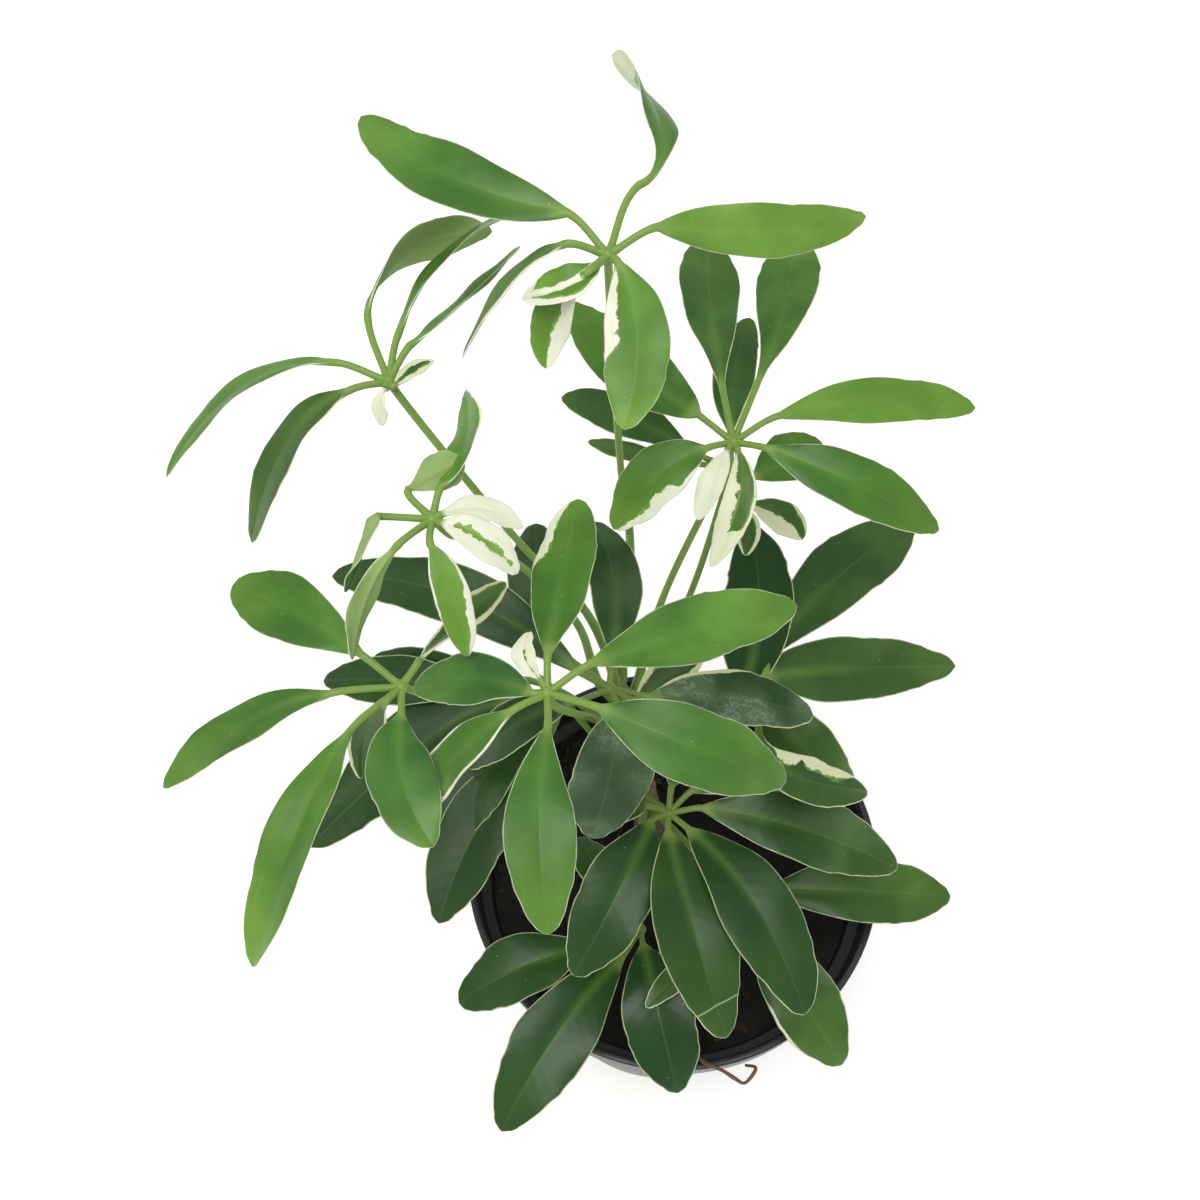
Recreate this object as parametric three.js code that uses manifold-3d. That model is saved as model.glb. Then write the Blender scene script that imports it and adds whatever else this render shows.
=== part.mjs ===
import * as THREE from 'three';
import { mergeVertices } from 'three/addons/utils/BufferGeometryUtils.js';
import Module from 'manifold-3d';

// A variegated dwarf umbrella plant in a black plastic nursery pot.
// Millimetres, +Z up, origin in the middle of the pot's foot, on the surface that it stands on.
// Thirteen leaves grow from one leaning stem. Each leaf is a long petiole with a ring of leaflets
// on short stalks at its end, like the ribs of an umbrella.

// Driving dimensions of the pot.
const rimRadius = 76;
const potHeight = 140;
const footRadius = 53;
const wall = 1.5;
const lipBead = 2.6;
const lipHeight = 2.6;
const lipEdge = 0.6;
const bandHeight = 16;
const bandStep = 5;
const bandSlope = 1.5;
const floorLift = 3.5;
const footRing = 8;
const footDisc = 20;
const footEdge = 1;
const channelSlope = 2;
const drainHoles = 6;
const drainRadius = 5;
const drainCircle = 33;
const drainSides = 12;
const roundSteps = 48;

// Driving dimensions of the soil, and the gap that touching pieces keep.
const soilLevel = 121;
const soilRoll = 1.3;
const soilRings = [1, 0.93, 0.78, 0.6, 0.42, 0.24, 0];
const clodLength = 22;
const ridgeLength = 17;
const gap = 0.3;

// Driving dimensions of the stem: its line from the root end in the soil to the tip, as
// [x, y, z, radius].
const stemLine = [
  [-5, 12, 84, 4.6], [-7, 16, 112, 6], [-9, 20, 132, 5.6], [-13, 27, 160, 5],
  [-18, 36, 188, 4.4], [-21, 41, 203, 3.6], [-22, 43, 210, 1.6],
];
const stemSides = 10;
const stemSteps = 16;

// Driving dimensions that all leaves share.
const bladeThickness = 0.7;
const bladeSteps = 7;
const petioleFoot = 1.9;
const petioleTop = 1.15;
const petioleTaper = 0.5;
const petioleSides = 6;
const petioleSteps = 9;
const petioleLeave = 12;
const petioleArrive = 14;
const leafletStalk = 0.95;
const leafletLift = 3;
const bladeFold = 8;
const hubRadius = 2.2;

// Half width of a leaflet along its length, as a share of its greatest half width.
const outline = [
  [0, 0.1], [0.07, 0.3], [0.17, 0.56], [0.31, 0.83], [0.46, 0.98], [0.6, 1],
  [0.74, 0.89], [0.86, 0.66], [0.94, 0.4], [1, 0.05],
];
const widestPlace = 0.56;

// The leaves, top to bottom. A leaf has the point of its hub, the height on the stem where its
// petiole starts, the two angles above the horizontal at which the petiole leaves and arrives, and
// the points that it passes on the way between the leaves under it.
// Every leaflet has, in degrees and millimetres, seen from above:
//   turn, stalk, lift   direction, length and rise of its own stalk (lift as leafletLift by default)
//   aim, long, drop     direction, length and fall of its blade from base to tip
//   arch, bow, early    how far the blade rises and bends to its left, most at early (0.5)
//   wide                width of the blade, widest at belly along its length
//   roll, twist         tilt across the blade at its base, and how much that grows to the tip
//   fold                how far both halves rise from the midrib (as bladeFold by default)
const leaves = [
  {
    name: 'leaf_1', hub: [-25, 80, 380], foot: 201, leave: 40, arrive: 88,
    way: [[-17, 64, 224], [-17, 79, 241], [-20, 81, 272]],
    leaflets: [
      {
        turn: 132, stalk: 15, aim: 146, long: 68, drop: -4, arch: 3, bow: 8,
        wide: 17, belly: 0.5, roll: 15, twist: -4,
      },
      {
        turn: 69, stalk: 22, aim: 96, long: 63, drop: -14, arch: 2, bow: -9, early: 0.35,
        wide: 14, belly: 0.67, roll: 15, twist: -118, fold: 11,
      },
      {
        turn: 28, stalk: 14, aim: 16, long: 59, drop: -14, arch: 1, bow: -4, early: 0.58,
        wide: 14, belly: 0.49, roll: -28, twist: -30,
      },
      { turn: 175, stalk: 11, aim: -159, long: 30, drop: -33, arch: 8, wide: 9, roll: -26, fold: 12 },
      {
        turn: -123, stalk: 4, lift: 1, aim: -166, long: 20, drop: -7, arch: 2, bow: 4,
        wide: 11, roll: 5, fold: 16,
      },
      {
        turn: -124, stalk: 9, lift: 2, aim: -133, long: 16, drop: -24, bow: -4,
        wide: 11, roll: 12, fold: 12,
      },
      { turn: -52, stalk: 4, lift: 1, aim: -88, long: 42, drop: -13, arch: 2, bow: 4, wide: 17, roll: -5 },
    ],
  },
  {
    name: 'leaf_2', hub: [-85, 70, 340], foot: 197, leave: 75, arrive: 60,
    way: [[-26, 45, 228], [-33, 48, 250], [-50, 52, 280]],
    leaflets: [
      {
        turn: 109, stalk: 21, lift: 2, aim: 52, long: 53, drop: -11, arch: 5, bow: 7, early: 0.44,
        wide: 15, belly: 0.59, roll: 59, twist: 55,
      },
      {
        turn: 82, stalk: 15, lift: 2, aim: 54, long: 66, drop: -7, arch: 3, bow: 7,
        wide: 11, belly: 0.52, roll: 50, twist: -8,
      },
      { turn: 63, stalk: 12, lift: 2, aim: 57, long: 53, drop: -10, bow: -1, wide: 10, roll: 42 },
      {
        turn: 162, stalk: 16, lift: 2, aim: -165, long: 55, drop: -36, arch: 5, bow: -8,
        wide: 11, roll: -22,
      },
      {
        turn: -156, stalk: 11, lift: 2, aim: -139, long: 41, drop: -36, arch: 9, bow: -3,
        wide: 13.5, roll: -14,
      },
      { turn: -54, stalk: 3, lift: 1, aim: 48, long: 15, drop: -3, bow: 1, wide: 5, roll: -5 },
      {
        turn: -99, stalk: 3, lift: 1, aim: -101, long: 7, drop: -8, arch: 2, bow: -1,
        wide: 5, belly: 0.68, roll: -14, twist: -15,
      },
    ],
  },
  {
    name: 'leaf_3', hub: [13, 77, 300], foot: 189, leave: 55, arrive: 74, way: [[-6, 57, 240]],
    leaflets: [
      { turn: 99, stalk: 18, aim: 92, long: 67, drop: -9, bow: 1, wide: 20, roll: -8, belly: 0.66 },
      { turn: 68, stalk: 21, aim: 76, long: 67, drop: -9, bow: -2, wide: 20, roll: 5, belly: 0.7 },
      { turn: 29, stalk: 15, aim: 12, long: 66, drop: -15, arch: 3, bow: 2, wide: 15.5, roll: -12 },
      { turn: -24, stalk: 10, aim: -19, long: 56, drop: -17, arch: 6, bow: -2, wide: 18, roll: -10 },
      {
        turn: -157, stalk: 9, lift: 2, aim: -150, long: 32, drop: -20, arch: 6, bow: -1,
        wide: 18, roll: 10,
      },
      { turn: 143, stalk: 13, aim: 130, long: 63, drop: -7, bow: 2, wide: 19, roll: 18, belly: 0.47 },
      { turn: -118, stalk: 4, lift: 1, aim: -116, long: 21, drop: -9, arch: 3, wide: 8, roll: 0 },
      { turn: -75, stalk: 4, lift: 1, aim: -105, long: 31, drop: -17, arch: 6, bow: 4, wide: 10, roll: 0 },
    ],
  },
  {
    name: 'leaf_4', hub: [16, 93, 262], foot: 181, leave: 45, arrive: 62, way: [[5, 69, 225]],
    leaflets: [
      { turn: 90, stalk: 12, lift: 2, aim: 80, long: 55, drop: -8, bow: 2, wide: 15, roll: 8 },
      { turn: 162, stalk: 14, lift: 2, aim: 147, long: 51, drop: -8, arch: 3, bow: -1, wide: 15, roll: 10 },
      {
        turn: 178, stalk: 18, lift: 2, aim: 149, long: 34, drop: -14, arch: 1, bow: 1,
        wide: 6.5, roll: 40,
      },
      { turn: -20, stalk: 8, lift: -2, aim: 38, long: 31, drop: -8, wide: 18, roll: -10 },
      {
        turn: -73, stalk: 15, lift: 2, aim: -22, long: 20, drop: -12, arch: 3, bow: 1, early: 0.67,
        wide: 11, belly: 0.62, roll: -6, twist: -30,
      },
      { turn: -85, stalk: 16, lift: 2, aim: -75, long: 11, drop: -14, arch: 1, bow: 2, wide: 8, roll: 0 },
    ],
  },
  {
    name: 'leaf_5', hub: [-72, 32, 330], foot: 192, leave: 70, arrive: 70,
    way: [[-28, 35, 222], [-34, 41, 250], [-49, 45, 278], [-65, 37, 312]],
    leaflets: [
      {
        turn: 132, stalk: 10, aim: 35, long: 18, drop: -2, arch: 1, early: 0.63,
        wide: 11, belly: 0.64, roll: 170, twist: -20,
      },
      {
        turn: 76, stalk: 8, aim: 82, long: 35, drop: -4, arch: 1, bow: -4,
        wide: 14, roll: 34, twist: 30,
      },
      {
        turn: -176, stalk: 14, aim: -141, long: 15, drop: -25, arch: 9, bow: 2, early: 0.44,
        wide: 8, roll: 173, twist: -57,
      },
      {
        turn: -130, stalk: 13, aim: -121, long: 26, drop: -23, bow: -3, early: 0.48,
        wide: 10, belly: 0.63, roll: -119, twist: 21,
      },
      { turn: -89, stalk: 9, lift: 2, aim: -68, long: 24, drop: -22, arch: 4, bow: 1, wide: 10, roll: -8 },
      { turn: 15, stalk: 2, lift: 1, aim: 2, long: 22, drop: -8, arch: 2, bow: 3, wide: 8, roll: 0 },
      { turn: -36, stalk: 3, lift: 1, aim: -27, long: 23, drop: -9, arch: 4, bow: 1, wide: 11, roll: 0 },
    ],
  },
  {
    name: 'leaf_6', hub: [-83, 1, 290], foot: 177, leave: 60, arrive: 62,
    way: [[-31, 30, 209], [-50, 24, 245]],
    leaflets: [
      {
        turn: 143, stalk: 14, aim: 147, long: 50, drop: -9, arch: 2, bow: -1,
        wide: 20, roll: 12, belly: 0.62,
      },
      { turn: -170, stalk: 19, aim: -155, long: 53, drop: -15, arch: 4, bow: -3, wide: 15, roll: -15 },
      {
        turn: -131, stalk: 20, aim: -113, long: 64, drop: -23, arch: 12, bow: 1,
        wide: 18, roll: -22, fold: 20,
      },
      { turn: -86, stalk: 9, lift: 1, aim: -74, long: 41, drop: 3, arch: 4, bow: -4, wide: 19, roll: 8 },
      {
        turn: 53, stalk: 8, aim: 52, long: 38, drop: -8, arch: -6, bow: 3, early: 0.35,
        wide: 10, belly: 0.62, roll: 59, twist: -82,
      },
      { turn: -124, stalk: 7, lift: 2, aim: -130, long: 15, drop: -28, bow: -3, wide: 11, roll: 60 },
    ],
  },
  {
    name: 'leaf_7', hub: [-41, -10, 310], foot: 185, leave: 60, arrive: 78, way: [[-31, 11, 246]],
    leaflets: [
      { turn: 90, stalk: 10, aim: 82, long: 55, drop: -9, wide: 18, roll: 12 },
      { turn: 32, stalk: 14, aim: 22, long: 62, drop: -11, bow: 1, wide: 19, roll: -10 },
      { turn: -22, stalk: 15, aim: -15, long: 52, drop: -17, arch: 8, bow: -4, wide: 21, roll: -15 },
      {
        turn: -88, stalk: 11, aim: -89, long: 53, drop: -7, arch: 10, bow: -2,
        wide: 18, roll: 2, belly: 0.64,
      },
      {
        turn: -149, stalk: 11, lift: 1, aim: -147, long: 37, drop: -33, arch: 1, bow: -2,
        wide: 17, belly: 0.58, roll: -14, twist: -17,
      },
      {
        turn: -172, stalk: 4, lift: 1, aim: 166, long: 35, drop: -17, arch: 2, bow: -3,
        wide: 15, roll: 10,
      },
      {
        turn: 118, stalk: 4, lift: 1, aim: 103, long: 13, drop: 3, arch: 2, bow: 3,
        wide: 8, belly: 0.6, roll: 31, twist: 13,
      },
    ],
  },
  {
    name: 'leaf_8', hub: [-4, -4, 200], foot: 152, leave: 45, arrive: 60, way: [],
    leaflets: [
      {
        turn: -150, stalk: 7, lift: 2, aim: -118, long: 54, drop: -14, arch: 10, bow: 2,
        wide: 24, roll: 10,
      },
      { turn: -94, stalk: 7, lift: 2, aim: -75, long: 67, drop: -10, arch: 9, bow: -2, wide: 26, roll: 12 },
      { turn: -45, stalk: 9, lift: 2, aim: -58, long: 68, drop: -12, arch: 9, bow: 3, wide: 26, roll: 8 },
      { turn: 4, stalk: 11, aim: -13, long: 68, drop: -17, arch: 4, bow: 2, wide: 23, roll: -10 },
      { turn: 84, stalk: 8, aim: 74, long: 26, drop: -8, arch: 3, wide: 13, roll: 0 },
      { turn: 42, stalk: 10, aim: 32, long: 42, drop: -14, arch: 4, wide: 20, roll: 0 },
      { turn: 170, stalk: 7, aim: -176, long: 24, drop: -10, arch: 3, wide: 12, roll: 0 },
    ],
  },
  {
    name: 'leaf_9', hub: [-24, 21, 245], foot: 169, leave: 60, arrive: 70, way: [[-17, 23, 215]],
    leaflets: [
      { turn: 86, stalk: 10, aim: 96, long: 54, drop: -7, bow: -4, wide: 18, roll: -8 },
      { turn: -32, stalk: 10, aim: 44, long: 30, drop: -11, bow: 1, wide: 12, roll: 5 },
      { turn: -18, stalk: 13, aim: 0, long: 53, drop: -15, arch: 4, bow: 1, wide: 20, roll: 5 },
      { turn: -71, stalk: 10, aim: -107, long: 30, drop: -35, arch: 11, bow: 2, wide: 26, roll: 25 },
      { turn: -151, stalk: 14, aim: -164, long: 35, drop: -27, arch: 7, bow: -1, wide: 17, roll: 0 },
      { turn: 140, stalk: 22, aim: 99, long: 50, drop: -8, bow: 2, wide: 20, roll: 5 },
      { turn: 155, stalk: 11, aim: 155, long: 90, drop: -7, arch: 5, bow: -7, wide: 20, roll: 15 },
    ],
  },
  {
    name: 'leaf_10', hub: [22, 20.5, 222], foot: 165, leave: 35, arrive: 70, way: [],
    leaflets: [
      {
        turn: 101, stalk: 7, lift: 4, aim: 86, long: 68, drop: -5, bow: -4, early: 0.54,
        wide: 25, belly: 0.5, roll: 20, twist: -5,
      },
      {
        turn: 75, stalk: 22, lift: -3, aim: 46, long: 83, drop: -7, arch: 2, bow: 4, early: 0.44,
        wide: 25, belly: 0.63, roll: -20, twist: 30,
      },
      {
        turn: 70, stalk: 13, lift: 7, aim: 10, long: 69, drop: -17, arch: -4, bow: 3, early: 0.43,
        wide: 22, belly: 0.47, roll: -22, twist: -5,
      },
      {
        turn: 60, stalk: 10, lift: 6, aim: -38, long: 41, drop: -30, arch: -2, bow: -3,
        wide: 21, belly: 0.48, roll: -25, twist: -17,
      },
      {
        turn: -12, stalk: 4, lift: 6, aim: -28, long: 40, drop: -20, arch: 6, bow: -14, early: 0.3,
        wide: 16, belly: 0.62, roll: -23, twist: 30,
      },
    ],
  },
  {
    name: 'leaf_11', hub: [-39, 32, 212], foot: 160, leave: 45, arrive: 70, way: [],
    leaflets: [
      { turn: 174, stalk: 22, aim: 159, long: 49, drop: -13, arch: 2, bow: 1, wide: 17, roll: 25 },
      { turn: 175, stalk: 27, aim: 169, long: 59, drop: -17, arch: 6, bow: 1, wide: 17, roll: 18 },
      {
        turn: -160, stalk: 17, aim: -152, long: 80, drop: -28, arch: 3, bow: -8, early: 0.3,
        wide: 28, belly: 0.37, roll: -4, twist: 21,
      },
      { turn: -123, stalk: 15, aim: -128, long: 47, drop: -11, arch: 5, bow: -5, wide: 21, roll: 0 },
      { turn: -109, stalk: 18, aim: -122, long: 65, drop: -19, arch: 5, bow: -4, wide: 24, roll: 0 },
    ],
  },
  {
    name: 'leaf_12', hub: [-13, -32, 160], foot: 146, leave: 15, arrive: 20, way: [],
    leaflets: [
      { turn: -159, stalk: 20, aim: -159, long: 47, drop: -9, arch: 6, bow: -1, wide: 23, roll: -5 },
      { turn: -121, stalk: 13, aim: -126, long: 68, drop: -9, arch: 9, bow: -2, wide: 25, roll: 12 },
      {
        turn: -82, stalk: 6, lift: 2, aim: -76, long: 48, drop: -16, arch: 10, bow: -1,
        wide: 25, roll: -10,
      },
      { turn: 126, stalk: 12, aim: 120, long: 29, drop: -7, arch: 1, bow: 1, wide: 13, roll: 0 },
    ],
  },
  {
    name: 'leaf_13', hub: [22, -16, 155], foot: 140, leave: 15, arrive: 20, way: [],
    leaflets: [
      { turn: -5, stalk: 11, aim: 0, long: 66, drop: -9, arch: 5, bow: -1, wide: 23, roll: -8 },
      { turn: -66, stalk: 17, aim: -57, long: 51, drop: -17, arch: 9, bow: -2, wide: 24, roll: -15 },
      { turn: -114, stalk: 24, lift: 15, aim: -135, long: 34, drop: 3, arch: 2, wide: 9, roll: 0 },
    ],
  },
];

// The withered leaf stalk that lies on the soil and hangs over the rim, as [x, y, z].
const witheredLine = [
  [5, -54, 123.5], [7.5, -64, 128], [6.5, -70, 139], [9, -73.6, 141.9], [15.5, -76.4, 141.4],
  [19.5, -78.8, 140.8], [22.6, -80.3, 140.4], [25.4, -78, 141.2], [26.6, -75.6, 143], [23, -75, 144],
];
const witheredRadius = 0.95;
const witheredTaper = 0.35;
const witheredSides = 6;
const witheredSteps = 14;

const wasm = await Module();
wasm.setup();

const radians = THREE.MathUtils.degToRad;
const zAxis = new THREE.Vector3(0, 0, 1);
const turnAngle = 2 * Math.PI;

// A closed solid from a list of points and a list of triangles.
function solidFrom(points, triangles) {
  const vertProperties = new Float32Array(points.flatMap((p) => [p.x, p.y, p.z]));
  const triVerts = new Uint32Array(triangles.flat());
  return new wasm.Manifold(new wasm.Mesh({ numProp: 3, vertProperties, triVerts }));
}

// A closed solid from one of three's geometries, with the doubled points of its seams merged.
function solidOf(geometry) {
  const bare = geometry.clone();
  bare.deleteAttribute('normal');
  bare.deleteAttribute('uv');
  const merged = mergeVertices(bare, 1e-4);
  const place = merged.getAttribute('position');
  const points = [];
  for (let i = 0; i < place.count; i += 1) {
    points.push(new THREE.Vector3().fromBufferAttribute(place, i));
  }
  const triangles = [];
  const index = merged.getIndex();
  for (let i = 0; i < index.count; i += 3) {
    const [a, b, c] = [index.getX(i), index.getX(i + 1), index.getX(i + 2)];
    if (a !== b && b !== c && c !== a) triangles.push([a, b, c]);
  }
  return solidFrom(points, triangles);
}

// A solid turned around the z axis from a profile of [radius, height] pairs.
function turned(profile, steps) {
  const points = profile.map(([r, z]) => new THREE.Vector2(r, z));
  return solidOf(new THREE.LatheGeometry(points, steps).rotateX(Math.PI / 2));
}

// A closed tube along a curve, with a radius that changes along it.
function tube(curve, radiusAt, steps, sides) {
  const frames = curve.computeFrenetFrames(steps, false);
  const points = [];
  const triangles = [];
  for (let i = 0; i <= steps; i += 1) {
    const middle = curve.getPointAt(i / steps);
    for (let k = 0; k < sides; k += 1) {
      const angle = (turnAngle * k) / sides;
      points.push(middle.clone()
        .addScaledVector(frames.normals[i], radiusAt(i / steps) * Math.cos(angle))
        .addScaledVector(frames.binormals[i], radiusAt(i / steps) * Math.sin(angle)));
    }
  }
  for (let i = 0; i < steps; i += 1) {
    for (let k = 0; k < sides; k += 1) {
      const here = i * sides + k;
      const beside = i * sides + ((k + 1) % sides);
      triangles.push([here, beside, beside + sides], [here, beside + sides, here + sides]);
    }
  }
  const last = steps * sides;
  for (let k = 1; k < sides - 1; k += 1) {
    triangles.push([0, k + 1, k], [last, last + k, last + k + 1]);
  }
  return solidFrom(points, triangles);
}

// The stem's middle line as a curve, and its radius a share of the way along it.
const stemCurve = new THREE.CatmullRomCurve3(stemLine.map(([x, y, z]) => new THREE.Vector3(x, y, z)));

function stemRadius(share) {
  const along = share * (stemLine.length - 1);
  const i = Math.min(Math.floor(along), stemLine.length - 2);
  return THREE.MathUtils.lerp(stemLine[i][3], stemLine[i + 1][3], along - i);
}

function stemSolid(extra) {
  return tube(stemCurve, (share) => stemRadius(share) + extra, stemSteps, stemSides);
}

// The point on the stem's middle line at a height.
function stemAt(height) {
  const i = stemLine.findIndex((point) => point[2] > height);
  const [below, above] = [stemLine[i - 1], stemLine[i]];
  const share = (height - below[2]) / (above[2] - below[2]);
  return new THREE.Vector3(...below).lerp(new THREE.Vector3(...above), share);
}

// The curve of a leaf's petiole, from inside the stem to its hub.
function petioleCurve(leaf) {
  const start = stemAt(leaf.foot);
  const end = new THREE.Vector3(...leaf.hub);
  const way = leaf.way.map((point) => new THREE.Vector3(...point));
  const step = (from, to, angle, length) => {
    const across = to.clone().sub(from).setZ(0).normalize();
    return across.multiplyScalar(length * Math.cos(radians(angle)))
      .addScaledVector(zAxis, length * Math.sin(radians(angle)));
  };
  const afterStart = start.clone().add(step(start, way[0] ?? end, leaf.leave, petioleLeave));
  const beforeEnd = end.clone().sub(step(way.at(-1) ?? start, end, leaf.arrive, petioleArrive));
  return new THREE.CatmullRomCurve3([start, afterStart, ...way, beforeEnd, end]);
}

// The base of a leaflet's blade, at the end of its own stalk.
function bladeBase(leaf, leaflet) {
  const turn = radians(leaflet.turn);
  const { stalk, lift = leafletLift } = leaflet;
  return new THREE.Vector3(...leaf.hub)
    .add(new THREE.Vector3(stalk * Math.cos(turn), stalk * Math.sin(turn), lift));
}

// A point of a blade's midrib, from 0 at its base to 1 at its tip.
function midrib(leaf, leaflet, share) {
  const { long, drop, arch = 0, bow = 0, early = 0.5 } = leaflet;
  const aim = radians(leaflet.aim);
  const shifted = Math.max(share, 0) ** (Math.log(0.5) / Math.log(early));
  const hump = 4 * shifted * (1 - shifted);
  return bladeBase(leaf, leaflet).add(new THREE.Vector3(
    share * long * Math.cos(aim) - hump * bow * Math.sin(aim),
    share * long * Math.sin(aim) + hump * bow * Math.cos(aim),
    share * drop + hump * arch,
  ));
}

// Half the width of a blade a share of the way along it.
function halfWidth(leaflet, share) {
  const { wide, belly = widestPlace } = leaflet;
  const place = share ** (Math.log(widestPlace) / Math.log(belly));
  const i = Math.min(outline.findIndex(([at]) => at >= place) || 1, outline.length - 1);
  const [before, after] = [outline[i - 1], outline[i]];
  const part = (place - before[0]) / (after[0] - before[0]);
  return (wide / 2) * THREE.MathUtils.lerp(before[1], after[1], part);
}

// One station of a leaflet: six points around its section, the upper three and the lower three,
// from left to right. The section is a thin V on the blade and a round bar on the stalk.
function station(leaflet, middle, ahead, share, half, thickness, crown) {
  const { roll, twist = 0, fold = bladeFold } = leaflet;
  const flatSide = ahead.clone().cross(zAxis).normalize();
  const side = flatSide.applyAxisAngle(ahead, -radians(roll + twist * share));
  const up = side.clone().cross(ahead);
  const rise = share > 0 ? half * Math.sin(radians(fold)) : 0;
  const point = (k, height) => middle.clone().addScaledVector(side, k * half).addScaledVector(up, height);
  return [
    point(-1, rise + thickness / 2), point(0, crown), point(1, rise + thickness / 2),
    point(-1, rise - thickness / 2), point(0, -crown), point(1, rise - thickness / 2),
  ];
}

// A leaflet in one piece: its own stalk from the hub, then its blade, a thin plate folded along the
// midrib, split into triangles alike on both faces.
function leafletSolid(leaf, leaflet) {
  const hub = new THREE.Vector3(...leaf.hub);
  const base = bladeBase(leaf, leaflet);
  const out = base.clone().sub(hub).normalize();
  const small = 0.001;
  const direction = (share) => midrib(leaf, leaflet, share + small)
    .sub(midrib(leaf, leaflet, share - small)).normalize();
  const bend = out.clone().add(direction(0)).normalize();
  const onStalk = (middle, ahead) => (
    station(leaflet, middle, ahead, 0, leafletStalk, leafletStalk, leafletStalk)
  );
  const stations = [onStalk(hub, out), onStalk(base, bend)];
  for (let i = 1; i <= bladeSteps; i += 1) {
    const share = i / bladeSteps;
    const middle = midrib(leaf, leaflet, share);
    const half = halfWidth(leaflet, share);
    stations.push(
      station(leaflet, middle, direction(share), share, half, bladeThickness, bladeThickness / 2),
    );
  }
  const points = stations.flat();
  const triangles = [];
  const around = [0, 1, 2, 5, 4, 3];
  for (let i = 0; i < stations.length - 1; i += 1) {
    for (let k = 0; k < 6; k += 1) {
      const here = 6 * i + around[k];
      const beside = 6 * i + around[(k + 1) % 6];
      if (k < 3) triangles.push([here, beside, beside + 6], [here, beside + 6, here + 6]);
      else triangles.push([here, beside, here + 6], [beside, beside + 6, here + 6]);
    }
  }
  const end = points.length - 6;
  triangles.push([0, 3, 1], [1, 3, 4], [1, 4, 2], [2, 4, 5]);
  triangles.push([end, end + 1, end + 3], [end + 1, end + 4, end + 3]);
  triangles.push([end + 1, end + 2, end + 4], [end + 2, end + 5, end + 4]);
  return solidFrom(points, triangles);
}

// One leaf: petiole, hub, leaflet stalks and blades grown together, with its foot against the stem.
function leafSolid(leaf) {
  const petiole = tube(
    petioleCurve(leaf),
    (share) => THREE.MathUtils.lerp(petioleFoot, petioleTop, Math.min(1, share / petioleTaper)),
    petioleSteps,
    petioleSides,
  );
  const hub = solidOf(new THREE.SphereGeometry(hubRadius, 6, 4).translate(...leaf.hub));
  let solid = petiole.add(hub);
  for (const leaflet of leaf.leaflets) {
    solid = solid.add(leafletSolid(leaf, leaflet));
  }
  return solid.subtract(stemSolid(gap));
}

// The pot's inner radius at a height below its rim band.
function innerRadius(height) {
  const top = potHeight - bandHeight;
  const share = height / top;
  return THREE.MathUtils.lerp(footRadius, rimRadius - bandStep - wall, share) - wall;
}

// The pot: a thin tapered shell with a stepped rim band and a rolled lip. It stands on a ring and
// on a disc in the middle, and the drain holes lie in the raised channel between them.
function potSolid() {
  const bandFoot = potHeight - bandHeight;
  const lipFoot = potHeight - lipHeight;
  const lipInner = rimRadius - lipBead;
  const channelInner = footDisc + channelSlope;
  const channelOuter = footRadius - footRing;
  const profile = [
    [0, 0], [footDisc, 0], [channelInner, floorLift], [channelOuter - channelSlope, floorLift],
    [channelOuter, 0], [footRadius - footEdge, 0], [footRadius, footEdge],
    [innerRadius(bandFoot) + wall, bandFoot], [rimRadius - 2 * lipEdge, bandFoot + bandSlope],
    [rimRadius - lipEdge, lipFoot], [rimRadius, lipFoot + lipEdge], [rimRadius, potHeight - lipEdge],
    [rimRadius - lipEdge, potHeight], [lipInner + lipEdge, potHeight], [lipInner, potHeight - lipEdge],
    [lipInner, lipFoot + lipEdge], [lipInner - lipEdge, lipFoot],
    [lipInner - 2 * lipEdge, bandFoot + 2 * bandSlope], [innerRadius(bandFoot), bandFoot + bandSlope / 2],
    [innerRadius(floorLift + wall), floorLift + wall], [0, floorLift + wall],
  ];
  let pot = turned(profile, roundSteps);
  for (let k = 0; k < drainHoles; k += 1) {
    const angle = (turnAngle * (k + 0.5)) / drainHoles;
    const hole = new THREE.CylinderGeometry(drainRadius, drainRadius, 4 * wall, drainSides);
    hole.rotateX(Math.PI / 2);
    hole.translate(drainCircle * Math.cos(angle), drainCircle * Math.sin(angle), floorLift + wall / 2);
    pot = pot.subtract(solidOf(hole));
  }
  return pot;
}

// The soil: it fills the pot to just below the rim band, with an uneven top and a hole for the stem.
function soilSolid() {
  const floor = floorLift + wall + gap;
  const inside = (height) => innerRadius(height) - 1.1 * gap;
  const top = soilRings.map((share) => [inside(soilLevel) * share, soilLevel]);
  const profile = [[0, floor], [inside(floor), floor], ...top];
  const points = profile.map(([r, z]) => new THREE.Vector2(r, z));
  const geometry = new THREE.LatheGeometry(points, roundSteps).rotateX(Math.PI / 2);
  const place = geometry.getAttribute('position');
  for (let i = 0; i < place.count; i += 1) {
    const [x, y, z] = [place.getX(i), place.getY(i), place.getZ(i)];
    const clods = Math.cos((turnAngle * x) / clodLength) * Math.cos((turnAngle * y) / clodLength);
    const ridges = Math.sin((turnAngle * (x / 3 - y)) / ridgeLength);
    const calm = Math.min(1, 6 * (1 - Math.hypot(x, y) / inside(soilLevel)));
    if (z === soilLevel) place.setZ(i, z + calm * soilRoll * (clods + 0.6 * ridges));
  }
  return solidOf(geometry).subtract(stemSolid(gap));
}

function witheredSolid() {
  const curve = new THREE.CatmullRomCurve3(witheredLine.map((point) => new THREE.Vector3(...point)));
  const radiusAt = (share) => witheredRadius * (1 - witheredTaper * share);
  return tube(curve, radiusAt, witheredSteps, witheredSides);
}

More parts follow.
